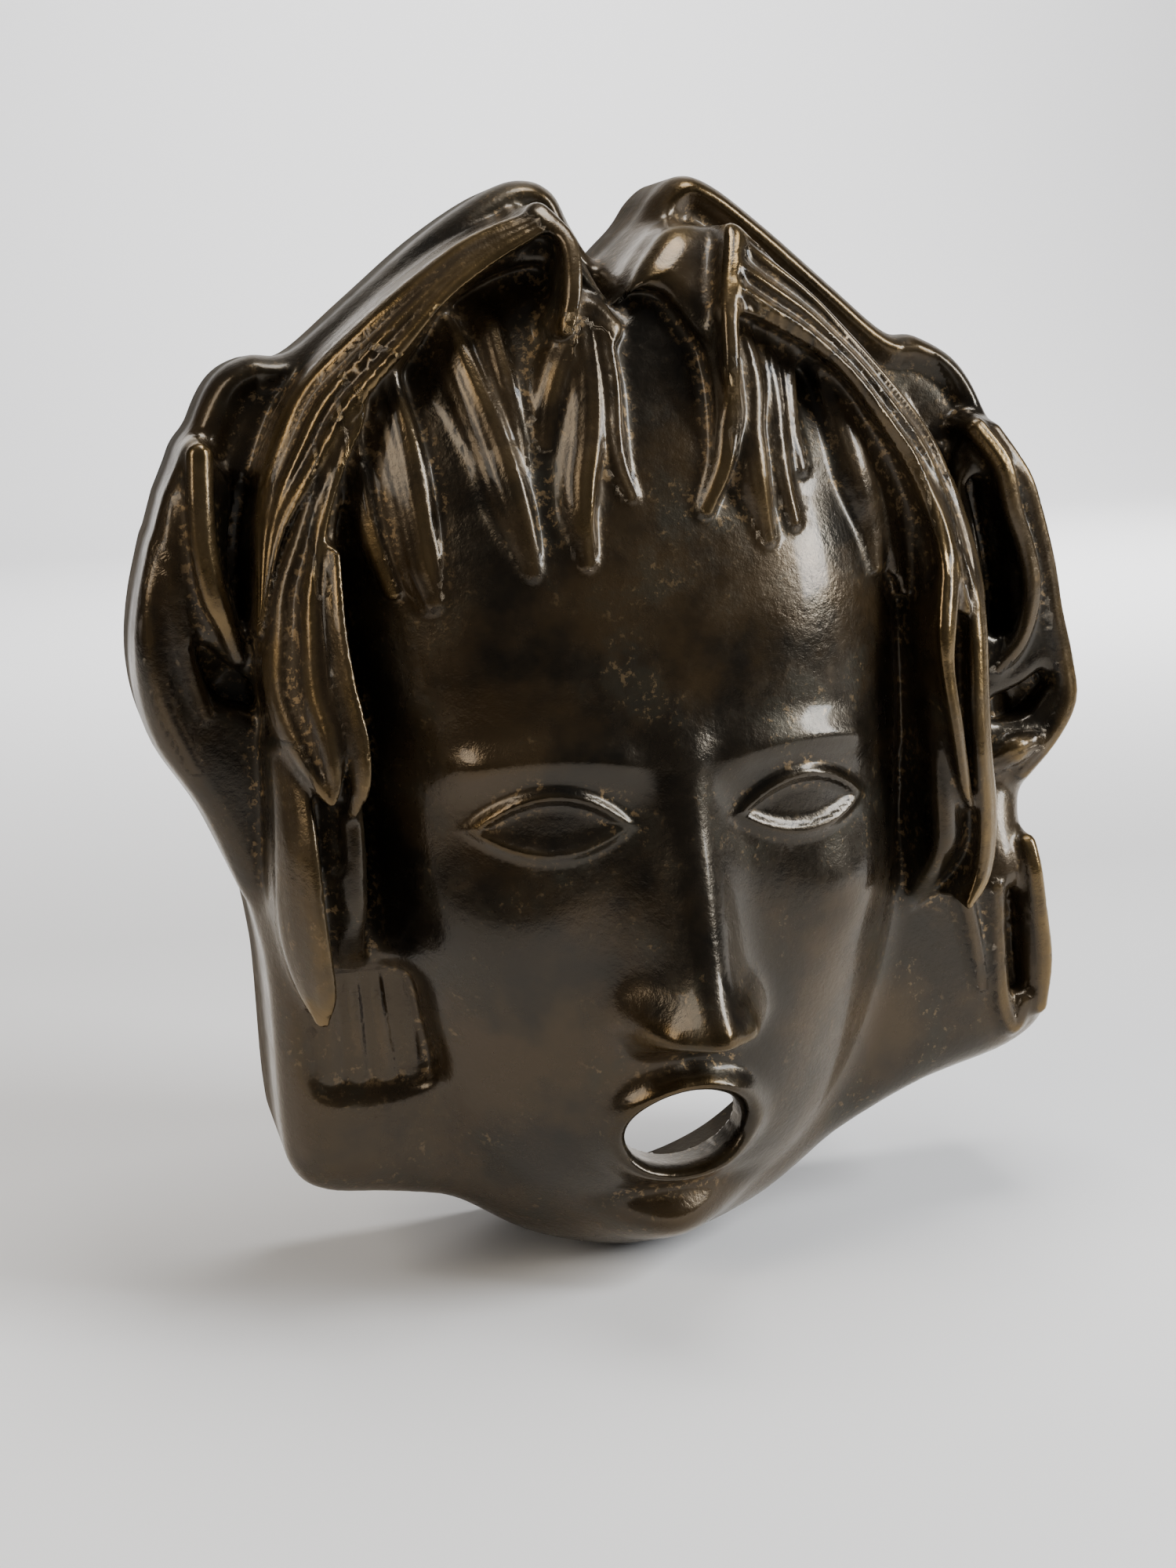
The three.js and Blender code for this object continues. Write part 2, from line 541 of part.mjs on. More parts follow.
WING_LOCKS.forEach((points) => addLock(points, wingTop, 0, LOCK_EDGE));
hollowOut();

// Surface where the distance is zero, by splitting each cell of the grid into six tetrahedra
function surface() {
  const vertices = [];
  const triangles = [];
  const known = new Map();
  const index = (i, j, k) => (i * size[2] + k) * size[1] + j;
  const step = (corner) => index(corner & 1, (corner >> 1) & 1, (corner >> 2) & 1);
  const orders = [[1, 2, 4], [2, 4, 1], [4, 1, 2], [2, 1, 4], [1, 4, 2], [4, 2, 1]];
  const tetrahedra = orders.map(([a, b]) => [0, a, a | b, 7]);
  const crossing = (cell, origin, a, b) => {
    const low = a & b;
    const high = a | b;
    const from = origin + step(low);
    const key = from * 8 + (high - low);
    if (!known.has(key)) {
      const start = field[from];
      const share = THREE.MathUtils.clamp(start / (start - field[origin + step(high)]), 0.08, 0.92);
      known.set(key, vertices.length);
      vertices.push([0, 1, 2].map((axis) => {
        const first = (low >> axis) & 1;
        const second = (high >> axis) & 1;
        return place(axis, cell[axis] + first + (second - first) * share);
      }));
    }
    return known.get(key);
  };
  const addTriangle = (corners, inside, outside) => {
    const [a, b, c] = corners.map((n) => new THREE.Vector3(...vertices[n]));
    const normal = b.clone().sub(a).cross(c.clone().sub(a));
    const way = [0, 1, 2].map((axis) => ((outside >> axis) & 1) - ((inside >> axis) & 1));
    const facesOut = normal.dot(new THREE.Vector3(...way)) > 0;
    triangles.push(facesOut ? corners : [corners[0], corners[2], corners[1]]);
  };
  for (let i = 0; i < size[0] - 1; i += 1) {
    for (let k = 0; k < size[2] - 1; k += 1) {
      for (let j = 0; j < size[1] - 1; j += 1) {
        const origin = index(i, j, k);
        const signs = Array.from({ length: 8 }, (_, corner) => field[origin + step(corner)] < 0);
        if (signs.every((sign) => sign === signs[0])) continue;
        const cell = [i, j, k];
        tetrahedra.forEach((corners) => {
          const inside = corners.filter((corner) => signs[corner]);
          const outside = corners.filter((corner) => !signs[corner]);
          const at = (a, b) => crossing(cell, origin, a, b);
          if (inside.length === 1) {
            addTriangle(outside.map((corner) => at(inside[0], corner)), inside[0], outside[0]);
          } else if (inside.length === 3) {
            addTriangle(inside.map((corner) => at(corner, outside[0])), inside[0], outside[0]);
          } else if (inside.length === 2) {
            const ring = [[0, 0], [0, 1], [1, 1], [1, 0]].map(([a, b]) => at(inside[a], outside[b]));
            addTriangle([ring[0], ring[1], ring[2]], inside[0], outside[0]);
            addTriangle([ring[0], ring[2], ring[3]], inside[0], outside[0]);
          }
        });
      }
    }
  }
  return { vertices, triangles };
}

// Add the squared distance to a plane, weighted, to the ten sums kept for a point
function addPlane(sums, at, [a, b, c], d, weight) {
  const terms = [a * a, a * b, a * c, a * d, b * b, b * c, b * d, c * c, c * d, d * d];
  terms.forEach((term, n) => { sums[at * 10 + n] += term * weight; });
}

// Place of least error for the ten sums, and that error
function bestPlace(q) {
  const [a, b, c, d, e, f, g, h, i, j] = q;
  const m = new THREE.Matrix3().set(a, b, c, b, e, f, c, f, h).invert();
  const p = new THREE.Vector3(-d, -g, -i).applyMatrix3(m);
  const error = p.x * (a * p.x + 2 * (b * p.y + c * p.z + d)) + p.y * (e * p.y + 2 * (f * p.z + g))
    + p.z * (h * p.z + 2 * i) + j;
  return { p, error };
}

// Heap that gives back the edge of least cost
class EdgeQueue {
  constructor() { this.items = []; }

  add(item) {
    const { items } = this;
    let at = items.push(item) - 1;
    while (at > 0) {
      const parent = (at - 1) >> 1;
      if (items[parent].cost <= items[at].cost) break;
      [items[parent], items[at]] = [items[at], items[parent]];
      at = parent;
    }
  }

  take() {
    const { items } = this;
    const first = items[0];
    const last = items.pop();
    if (items.length === 0) return first;
    items[0] = last;
    let at = 0;
    for (;;) {
      let least = at;
      [2 * at + 1, 2 * at + 2].forEach((child) => {
        if (child < items.length && items[child].cost < items[least].cost) least = child;
      });
      if (least === at) return first;
      [items[least], items[at]] = [items[at], items[least]];
      at = least;
    }
  }
}

// Fewer triangles: edges are drawn together, the one that moves the surface least first
function simplify({ vertices, triangles }, limit) {
  const points = vertices.map((v) => new THREE.Vector3(...v));
  const faces = triangles.map((t) => [...t]);
  const around = points.map(() => new Set());
  const sums = new Float64Array(points.length * 10);
  const stamp = new Int32Array(points.length);
  const normalOf = ([a, b, c]) => b.clone().sub(a).cross(c.clone().sub(a));
  faces.forEach((face, n) => {
    const normal = normalOf(face.map((v) => points[v]));
    const area = normal.length() / 2;
    if (area > 0) normal.normalize();
    const offset = -normal.dot(points[face[0]]);
    face.forEach((v) => {
      around[v].add(n);
      addPlane(sums, v, normal.toArray(), offset, area);
      [[1, 0, 0], [0, 1, 0], [0, 0, 1]].forEach((axis, k) => {
        addPlane(sums, v, axis, -points[v].getComponent(k), area * 2e-3);
      });
    });
  });
  const queue = new EdgeQueue();
  const offer = (u, v) => {
    const total = Array.from({ length: 10 }, (_, n) => sums[u * 10 + n] + sums[v * 10 + n]);
    const { p, error } = bestPlace(total);
    queue.add({ cost: error, u, v, p, total, pair: [stamp[u], stamp[v]] });
  };
  const neighbours = (u) => {
    const found = new Set();
    around[u].forEach((n) => faces[n].forEach((v) => { if (v !== u) found.add(v); }));
    return found;
  };
  points.forEach((_, u) => neighbours(u).forEach((v) => { if (u < v) offer(u, v); }));
  let alive = faces.length;
  while (alive > limit && queue.items.length > 0) {
    const { u, v, p, total, pair } = queue.take();
    if (pair[0] !== stamp[u] || pair[1] !== stamp[v]) continue;
    const near = neighbours(v);
    const common = [...neighbours(u)].filter((n) => near.has(n));
    if (common.length !== 2) continue;
    const keepsFacing = [[u, v], [v, u]].every(([moved, other]) => [...around[moved]].every((n) => {
      if (faces[n].includes(other)) return true;
      const before = normalOf(faces[n].map((w) => points[w]));
      const after = normalOf(faces[n].map((w) => (w === moved ? p : points[w])));
      return before.dot(after) > 0.25 * before.length() * after.length() && after.length() > 1e-3;
    }));
    if (!keepsFacing) continue;
    [...around[v]].forEach((n) => {
      if (faces[n].includes(u)) {
        faces[n].forEach((w) => around[w].delete(n));
        faces[n] = null;
        alive -= 1;
      } else {
        faces[n] = faces[n].map((w) => (w === v ? u : w));
        around[u].add(n);
      }
    });
    around[v].clear();
    points[u] = p;
    total.forEach((term, n) => { sums[u * 10 + n] = term; });
    stamp[u] += 1;
    stamp[v] = -1;
    neighbours(u).forEach((w) => offer(u, w));
  }
  return { points, faces: faces.filter((face) => face !== null) };
}

// Closed solid for cutting from a list of points and triangles
function solid(points, faces) {
  const vertProperties = new Float32Array(points.flatMap((p) => [p.x, p.y, p.z]));
  const triVerts = new Uint32Array(faces.flat());
  return new wasm.Manifold(new wasm.Mesh({ numProp: 3, vertProperties, triVerts }));
}

// The casting in its own frame, cut off flat at the wall plane
function casting() {
  const { points, faces } = simplify(surface(), TRIANGLE_LIMIT);
  const used = new Map();
  faces.flat().forEach((v) => { if (!used.has(v)) used.set(v, used.size); });
  const placed = [...used.keys()].map((v) => new THREE.Vector3(points[v].x, -points[v].y, points[v].z));
  const turned = faces.map(([a, b, c]) => [used.get(a), used.get(c), used.get(b)]);
  const wallBlock = new THREE.BoxGeometry(500, 60, 500).translate(0, 30, DOME_Z).toNonIndexed();
  const corners = new Map();
  const blockFaces = [];
  const position = wallBlock.getAttribute('position');
  for (let i = 0; i < position.count; i += 3) {
    blockFaces.push([0, 1, 2].map((n) => {
      const p = new THREE.Vector3().fromBufferAttribute(position, i + n);
      const key = p.toArray().join();
      if (!corners.has(key)) corners.set(key, { n: corners.size, p });
      return corners.get(key).n;
    }));
  }
  const block = solid([...corners.values()].map((corner) => corner.p), blockFaces);
  const mesh = solid(placed, turned).subtract(block).getMesh();
  const geometry = new THREE.BufferGeometry();
  geometry.setAttribute('position', new THREE.BufferAttribute(mesh.vertProperties, 3));
  geometry.setIndex(new THREE.BufferAttribute(mesh.triVerts, 1));
  geometry.computeVertexNormals();
  return geometry;
}

const group = new THREE.Group();
const mask = new THREE.Mesh(casting(), new THREE.MeshStandardMaterial(BRONZE));
mask.name = 'fountain_mask';
group.add(mask);

export default group;
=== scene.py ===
"""Looks of a cast bronze fountain mask with heavy parted hair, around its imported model."""
import math
import bpy
import bmesh
import numpy as np
from mathutils import Matrix, Vector


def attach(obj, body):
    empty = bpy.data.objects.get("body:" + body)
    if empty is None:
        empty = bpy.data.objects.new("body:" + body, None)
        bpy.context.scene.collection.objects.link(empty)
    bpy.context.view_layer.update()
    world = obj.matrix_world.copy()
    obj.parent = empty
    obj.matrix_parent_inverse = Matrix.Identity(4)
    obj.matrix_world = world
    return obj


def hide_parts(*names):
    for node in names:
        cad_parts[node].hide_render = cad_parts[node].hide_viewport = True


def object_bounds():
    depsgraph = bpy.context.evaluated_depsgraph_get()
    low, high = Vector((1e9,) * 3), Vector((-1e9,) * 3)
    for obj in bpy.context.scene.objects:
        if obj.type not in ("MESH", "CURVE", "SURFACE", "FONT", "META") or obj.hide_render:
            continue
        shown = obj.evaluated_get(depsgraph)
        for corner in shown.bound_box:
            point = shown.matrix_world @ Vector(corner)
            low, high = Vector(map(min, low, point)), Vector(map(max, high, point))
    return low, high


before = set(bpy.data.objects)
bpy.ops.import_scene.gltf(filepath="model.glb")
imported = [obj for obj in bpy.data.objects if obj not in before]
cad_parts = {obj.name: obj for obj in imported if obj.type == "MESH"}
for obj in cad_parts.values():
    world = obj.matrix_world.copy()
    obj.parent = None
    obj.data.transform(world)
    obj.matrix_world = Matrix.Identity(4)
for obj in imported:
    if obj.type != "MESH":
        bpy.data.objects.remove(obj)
CAD_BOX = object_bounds()

# Lengths are millimetres until a mesh is made. Depth is measured forward of the wall plane.
MM = 0.001

# Casting
WALL = 7.0
THINNEST = 5.5
LINING_FOLLOWS = 0.5
BACK_STOP = -5.0

# Working grid as x, depth and z, and size of the finished mesh
CELL = 1.25
TRIANGLE_LIMIT = 196000
GRID_LOW = np.array([-164.0, -9.0, -336.0])
GRID_HIGH = np.array([174.0, 158.0, 42.0])

# Rear layer of hair: its outline seen from the front, as x, z
REAR_OUTLINE = [
    (1, 4), (-7, 14), (-13, 25), (-22, 29), (-34, 26), (-55, 13), (-77, -5), (-98, -21), (-112, -22),
    (-123, -29), (-132, -47), (-142, -75), (-150, -100), (-152, -118), (-148, -138), (-136, -159),
    (-126, -185), (-121, -212), (-120, -262), (-117, -279), (-107, -287), (-85, -291), (-62, -297),
    (-35, -312), (0, -321), (38, -311), (70, -293), (102, -279), (136, -270), (151, -259), (154, -243),
    (150, -222), (145, -203), (144, -186), (150, -171), (160, -156), (162, -141), (157, -121),
    (148, -98), (141, -75), (136, -48), (127, -31), (112, -22), (100, -20), (80, -4), (58, 14),
    (40, 27), (29, 30), (20, 24), (12, 12),
]
REAR_TOP = 44.0
REAR_WING = 50.0
REAR_BOTTOM = 64.0
REAR_ROUND = 17.0

# Front layer of hair: the crest line above, and the sides down to the ledges where it is cut
FRONT_OUTLINE = [
    (-8, -12), (-17, 8), (-28, 16), (-45, 9), (-68, -5), (-90, -24), (-106, -43), (-116, -68),
    (-117, -92), (-117, -140), (-119, -180), (-119, -205), (-114, -217), (-100, -221), (-84, -222),
    (-60, -240), (60, -240), (86, -218), (102, -212), (113, -204), (119, -185), (118, -150), (114, -110),
    (104, -66), (88, -42), (66, -19), (45, -2), (30, 11), (16, 12), (4, 2),
]
FRONT_SINK = 9.0
FRONT_FALL = (-180.0, -228.0)
FRONT_DROP = 34.0
FRONT_ROUND = 8.0

# Window that the front layer leaves for the face and for the locks on the forehead
FACE_WINDOW = [
    (-6, -10), (-16, -8), (-27, 1), (-42, -2), (-56, -11), (-69, -26), (-82, -40), (-91, -56), (-96, -80),
    (-96, -120), (-93, -160), (-93, -200), (-86, -228), (-76, -250), (-56, -330), (60, -330), (88, -262),
    (92, -210), (90, -150), (89, -100), (84, -72), (72, -54), (60, -36), (44, -26), (30, -18), (22, -30),
    (15, -20), (8, -9), (0, -7),
]
FRONT_UNDER = 20.0
UNDER_FALL = (-55.0, -150.0)

# Dome that the front hair lies on: an ellipsoid, given by its centre height and half sizes
DOME_Z = -175.0
DOME_HALF = (150.0, 124.0, 230.0)
DOME_BACK = 4.0

# Face: an egg with the features set out by thirds between hairline, brow, nose base and chin
FACE_BACK = 22.0
FACE_FADE = 45.0
FACE_Z = -165.0
FACE_HALF = (99.0, 84.0, 158.0)
HAIRLINE = -62.0
FACE_FULL = 2.6
FACE_TALL = 2.8
JAW_NARROWS = 0.1
CHIN = -316.0
THIRD = (HAIRLINE - CHIN) / 3
BROW = HAIRLINE - THIRD
NOSE_BASE = BROW - THIRD
EYE_LINE = (HAIRLINE + 62 + CHIN) / 2 - 4
EYE_WIDTH = 40.0
MOUTH = NOSE_BASE - THIRD / 3 - 3
SPOUT_HALF = (19.5, 14.0)

# Bands of ribbons along the crests: outer and inner guide, number of ribbons, height at start and end
BANDS = [
    (
        [(-86, -38), (-97, -55), (-106, -71), (-114, -90), (-118, -112), (-116, -132), (-106, -149)],
        [(-84, -42), (-92, -58), (-98, -76), (-101, -98), (-100, -118), (-99, -136), (-102, -150)],
        2, -3, 1,
    ),
    (
        [(-30, 16), (-48, 10), (-64, 0), (-82, -14), (-98, -29), (-108, -45), (-115, -66), (-118, -98)],
        [(-27, 11), (-44, 1), (-58, -9), (-71, -23), (-84, -37), (-98, -57), (-109, -74), (-117, -100)],
        3, 2, 1,
    ),
    (
        [(32, 9), (46, -2), (60, -14), (74, -28), (88, -42), (101, -58), (110, -78), (115, -104)],
        [(25, -11), (36, -18), (49, -25), (61, -34), (72, -48), (83, -64), (92, -84), (99, -108)],
        3, 2, 0,
    ),
]
RIBBON_RISE = 2.6
RIBBON_SKEW = 0.7
RIBBON_WAVE = 0.05
RIBBON_FADE = (2.5, 6.0)
RIBBON_START = 0.07

# Locks of hair. Each path point is x, z, half width and height above what the lock lies on.
# First the locks of the forehead
FRINGE_LOCKS = [
    [(-93, -47, 4, 8), (-95, -61, 4, 7), (-98, -77, 3.6, 5), (-99, -90, 2.2, 2)],
    [(-79, -32, 8, 8), (-77, -50, 9, 8), (-75, -68, 8.5, 6.5), (-73, -84, 6.5, 4), (-70, -94, 3, 1)],
    [(-87, -36, 3, 8), (-87, -54, 3.4, 7.5), (-85, -74, 3, 5), (-80, -92, 2, 1)],
    [
        (-58, -16, 5, 6), (-54, -33, 6, 8), (-50, -48, 6.5, 8), (-47, -63, 6, 6.5),
        (-44, -76, 4.5, 4), (-42, -86, 2.5, 1),
    ],
    [(-46, -16, 4, 4), (-45, -30, 4.5, 5.5), (-43, -46, 3.5, 4), (-42, -58, 2.2, 1.5)],
    [(-22, -18, 3.5, 9), (-28, -27, 4.5, 8.5), (-32, -38, 4, 6.5), (-34, -50, 2.5, 2)],
    [
        (-20, -18, 4, 9), (-21, -34, 5, 9), (-23, -48, 6, 8.5), (-26, -60, 5.5, 7),
        (-27, -72, 4.2, 5), (-26, -84, 2.5, 1),
    ],
    [(-14, -19, 3.5, 9), (-14, -34, 4, 8), (-15, -48, 4, 6.5), (-14, -58, 3, 4), (-11, -66, 2, 1)],
    [(-26, -17, 4, 9), (-18, -13, 5.5, 11.5), (-11, -18, 4, 9)],
    [(23, -30, 3.5, 11), (21, -45, 3.5, 11), (18, -58, 3, 8), (12, -71, 2, 3)],
    [(28, -14, 4, 12), (30, -33, 5.2, 11.5), (28, -49, 5.2, 10), (28, -63, 5, 7.5), (31, -80, 2.5, 1)],
    [(38, -18, 4, 10), (38, -42, 4, 8.5), (38, -60, 3.4, 5), (41, -76, 2, 1)],
    [(46, -22, 3.6, 10), (44, -42, 3.4, 7.5), (46, -60, 2.2, 2)],
    [(60, -32, 4.5, 10), (65, -53, 6.5, 10), (69, -68, 6.2, 7.5), (72, -80, 4.5, 4), (74, -93, 2.5, 1)],
    [(71, -41, 4, 9), (76, -59, 4.8, 8.5), (79, -78, 4.2, 5), (82, -94, 2, 1)],
    [(81, -50, 4, 8), (84, -71, 4.6, 6.5), (85, -90, 3.2, 3), (86, -101, 2, 1)],
]

# Low swellings under the locks of the forehead
FRINGE_SWELLS = [
    [(-82, -34, 11, 3), (-78, -58, 11, 2.5), (-73, -80, 8, 0.5)],
    [(-48, -18, 13, 3), (-44, -42, 12, 2.5), (-41, -64, 8, 0.5)],
    [(-20, -22, 10, 4), (-22, -42, 10, 3), (-24, -62, 7, 0.5)],
    [(34, -22, 11, 5), (35, -44, 10, 4), (36, -64, 7, 0.5)],
    [(70, -44, 10, 4), (75, -64, 9, 3), (79, -84, 6, 0.5)],
]

# Rims of the parting, on both sides
HOOD_RIMS = [
    [(-28, 16, 3, 2), (-22, 7, 2.6, 2), (-23, -6, 2.6, 1), (-26, -18, 2.2, -3)],
    [
        (31, 9, 3, 2), (26, -4, 2.8, 2), (23, -15, 2.8, 2), (22, -30, 2.6, -2), (22, -42, 2.4, -8),
        (21, -54, 2, -15),
    ],
]

# Long locks down the sides of the face
SIDE_LOCKS = [
    [
        (-97, -80, 2.3, -3), (-98, -100, 2.7, -1), (-97, -116, 2.8, -1), (-95, -131, 3, -1),
        (-95, -145, 2.7, -2), (-97, -154, 1.2, -6),
    ],
    [
        (-114, -138, 4, -4), (-113, -153, 5, -1), (-113, -166, 5.6, 2), (-113, -183, 6.3, 3),
        (-112, -197, 6.3, 3), (-110, -210, 5, 2), (-109, -219, 2, -2),
    ],
    [
        (88, -62, 2.7, -2), (94, -76, 3.8, 1), (96, -93, 4.3, 2), (92, -112, 4, 1),
        (92, -126, 2.8, -1), (95, -144, 2.6, -1), (99, -162, 2.2, -2), (103, -171, 1, -4),
    ],
    [
        (104, -70, 3.9, -1), (109, -90, 4.5, 2), (109, -112, 4.8, 3), (108, -134, 4.8, 2),
        (108, -154, 4.8, 2), (111, -176, 5, 2), (110, -194, 4.6, 1), (103, -204, 1.8, -2),
    ],
]

# Outer bunches of hair, as outlines, and the locks on them
WING_LEFT = [
    (-128, -46), (-138, -56), (-147, -80), (-153, -108), (-150, -134), (-137, -158), (-124, -186),
    (-117, -170), (-115, -120), (-119, -70),
]
WING_RIGHT = [
    (126, -48), (140, -62), (149, -90), (158, -118), (163, -142), (158, -160), (146, -174),
    (124, -172), (117, -140), (118, -90), (119, -60),
]
WING_TOP = 52.0
WING_ROUND = 8.0
WING_LOCKS = [
    [
        (-130, -51, 4, 4), (-131, -64, 4, 7), (-131, -78, 4, 8), (-129, -92, 4, 8),
        (-126, -101, 3.2, 6), (-123, -111, 1.6, 2),
    ],
    [(-137, -64, 2.4, -2), (-140, -84, 3, 1.5), (-139, -106, 3, 1), (-134, -128, 2.5, -2)],
    [(-143, -78, 2.4, -3), (-147, -98, 3, 0), (-146, -122, 3, 0), (-138, -144, 2.5, -3)],
    [
        (123, -53, 3.6, 4), (131, -65, 3.8, 7), (135, -80, 3.6, 7), (140, -92, 3.4, 6),
        (143, -105, 3.4, 6), (142, -117, 3.2, 5), (138, -127, 2.8, 4), (132, -134, 1.5, 1),
    ],
    [
        (131, -55, 3, 0), (141, -69, 3, 2), (146, -82, 3, 2), (151, -100, 3, 2), (154, -116, 3, 2),
        (158, -133, 3.4, 2), (159, -147, 3.4, 3), (151, -160, 3.1, 4), (142, -170, 3, 2),
    ],
    [(130, -166, 4, 3), (137, -162, 5, 7), (146, -160, 3, 4)],
]

# Locks and flutes low on the rear layer
LOWER_LOCKS = [
    [(114, -210, 2.4, 2), (118, -227, 2.4, 2), (121, -242, 1.8, 0)],
    [
        (126, -208, 2.6, 1), (127, -232, 2.6, 2), (129, -250, 2.7, 2), (134, -258, 2.8, 1),
        (138, -250, 2.4, 0),
    ],
    [(140, -194, 3, 1), (143, -218, 3.2, 2), (145, -236, 3.4, 2), (144, -252, 2.8, 1)],
]
FLUTES_LEFT = [
    [(-105, -208, 2.4, -2), (-104, -228, 2.8, -2), (-104, -244, 2.4, -3.5)],
    [(-83, -208, 2.4, -2), (-80, -228, 2.8, -2), (-78, -245, 2.4, -3.5)],
]

# Hollows between the locks, as x, z, half width and depth of the floor below the hair
HOLLOWS = [
    [(-104, -154, 2, 9), (-104, -160, 2.6, 11), (-104, -168, 2, 9)],
    [(101, -118, 1.2, 6), (101, -134, 2.2, 8), (103, -156, 1.5, 6)],
]
WING_HOLLOWS = [
    [(-134, -110, 3, 8), (-128, -119, 5, 14), (-119, -124, 4, 12)],
    [(126, -72, 3, 10), (132, -96, 4, 16), (134, -118, 4, 14)],
    [(150, -140, 3, 8), (143, -146, 5, 12), (134, -148, 4, 6)],
    [(-116, -28, 3, 11), (-122, -39, 4, 13), (-126, -50, 2.5, 11)],
    [(109, -30, 3, 11), (114, -40, 4, 13), (118, -52, 3, 11)],
    [(-117, -62, 2, 14), (-121, -80, 2.5, 18), (-120, -100, 2.5, 18)],
    [(134, -212, 2, -4), (135, -230, 3, -2), (136, -244, 2.5, -4)],
]

# Fluted pocket under the left side lock, as an outline, and its depth below the rear layer
POCKET = [
    (-106, -212), (-92, -210), (-79, -212), (-75, -228), (-72, -245), (-82, -250), (-97, -250),
    (-108, -247), (-110, -230),
]
POCKET_DEPTH = 4.5
FLUTE_COUNT = 4

# How the locks and hollows are shaped: a tilt lifts the side that lies to the left of the path,
# an edge is how far a form is rounded, a blend is how widely it runs into what it lies on
SIDE_TILT = 0.25
FRINGE_TILT = 0.3
REAR_DIP = 9.0
BAND_EDGE = 2.0
LOCK_EDGE = 7.0
SWELL_EDGE = 10.0
LOCK_BLEND = 4.0
HOLLOW_BLEND = 6.0
MASS_BLEND = 9.0
PATH_MARGIN = 8.0
OUTLINE_MARGIN = 14.0

# Step over which the slope of the distance is measured, for the true place and normal of each point
SLOPE_STEP = 0.7

# Finish: the colours of the patina and the warm tint of its gloss
DARK = (0.0055, 0.0048, 0.0038, 1)
BROWN = (0.032, 0.020, 0.009, 1)
GOLD = (0.21, 0.14, 0.06, 1)
OCHRE = (0.16, 0.105, 0.05, 1)
GREEN = (0.012, 0.018, 0.015, 1)
WARM_GLOSS = (1.0, 0.86, 0.66, 1)

# Where the sides near the wall lose their gloss, as y in metres
WALL_SIDE = (-0.040, -0.016)

# How far around each point its crests and recesses are judged
BLUR_WIDTH = 10.0

# Strands: their pitch, how many fit across a ribbon, how strong they are on the rear layer, how far
# one lock's strands are shifted from the last one's, and where they fade out across a lock's width
STRAND_PITCH = 3.4
BAND_STRANDS = 5.1
REAR_STRANDS = 0.06
LOCK_PHASE = 7.3
LOCK_REACH = 1.25
STRAND_FADE = (0.6, 1.2)
LEAST_HALF = 0.5

# How far beyond a band its strands run on, and where strands fade in outside the face window
BAND_REACH = 0.5
WINDOW_FADE = (0, 4)

# The hollow has no strands. It is what lies behind this share of the fringe's depth less so many
# millimetres, and farther inside the hair's outline than the edge.
INNER_SHARE = 0.7
INNER_LESS = 12
INNER_EDGE = -6

# Points up to the first depth stay on the rim, and faces up to the second are flat on the wall
RIM_DEPTH = 0.05
FLAT_DEPTH = 0.02

# Least square of the slope that a point's move is divided by
LEAST_SLOPE = 0.3

# Camera of the photograph: its place in millimetres, the way it looks and the tilt of its frame
IMAGE_HEIGHT = 2000
CAMERA_PLACE = Vector((-181.3, -634.5, -31.8))
CAMERA_TARGET = Vector((-16.6, -60.0, -158.8))
CAMERA_ROLL = 2.0
FOCAL_PIXELS = 2444
SENSOR = 36.0

# Floor and backdrop in metres: pale in view, with painted shade of a dim room out of view, in front and
# on the left
FLOOR_PALE = (0.80, 0.79, 0.785, 1)
FLOOR_PAINTED_SHADE = (0.05, 0.045, 0.04, 1)
FRONT_FADE = (-1.3, -0.25)
LEFT_FADE = (-2.2, -0.7)
FLOOR_HALF = 6.0
BACKDROP_Y = 3.0
BACKDROP_BEND = 1.5
BACKDROP_HEIGHT = 5.0

# Lamps in metres: name, place, target, size, power and colour
MASK_MIDDLE = (0, -0.06, -0.15)
LAMPS = [
    ("window_right", (1.25, -0.75, 0.55), MASK_MIDDLE, (0.4, 1.0), 44, (0.94, 0.97, 1.0)),
    ("window_left", (-1.5, -0.5, 0.8), MASK_MIDDLE, (0.6, 1.1), 17, (1.0, 0.90, 0.76)),
    ("above", (0.2, 0.0, 1.5), MASK_MIDDLE, (0.9, 0.6), 24, (1.0, 1.0, 1.0)),
    ("backdrop", (1.2, 0.9, 1.7), (1.4, 3.6, 0.9), (2.0, 0.8), 300, (0.97, 0.98, 1.0)),
]
ROOM_COLOUR = (0.80, 0.81, 0.84, 1)
ROOM_STRENGTH = 0.13


def clamp(value, low=0.0, high=1.0):
    return np.minimum(np.maximum(value, low), high)


def smooth(low, high, value):
    share = clamp((value - low) / (high - low))
    return share * share * (3 - 2 * share)


def bell(value):
    return np.exp(-value * value)


# Two forms joined, one cut out of the other, and what they share, with a rounded meeting line
def join(a, b, rounding):
    near = np.maximum(rounding - np.abs(a - b), 0) / rounding
    return np.minimum(a, b) - near * near * rounding / 4


def cut(a, b, rounding):
    return -join(-a, b, rounding)


def overlap(a, b, rounding):
    return -join(-a, -b, rounding)


def raised(side, depth, top, rounding):
    """Distance to a form inside its outline by side and under its top, with a rounded edge."""
    a = side + rounding
    b = depth - top + rounding
    return np.minimum(np.maximum(a, b), 0) + np.hypot(np.maximum(a, 0), np.maximum(b, 0)) - rounding


def dome_top(x, z):
    level = 1 - (x / DOME_HALF[0]) ** 2 - ((z - DOME_Z) / DOME_HALF[2]) ** 2
    return DOME_BACK + DOME_HALF[1] * np.sqrt(np.maximum(level, 0))


def rear_top(x, z):
    wing = REAR_TOP + (REAR_WING - REAR_TOP) * smooth(-30, -70, z)
    return wing + (REAR_BOTTOM - REAR_WING) * smooth(-160, -205, z)


def wing_top(x, z):
    return WING_TOP


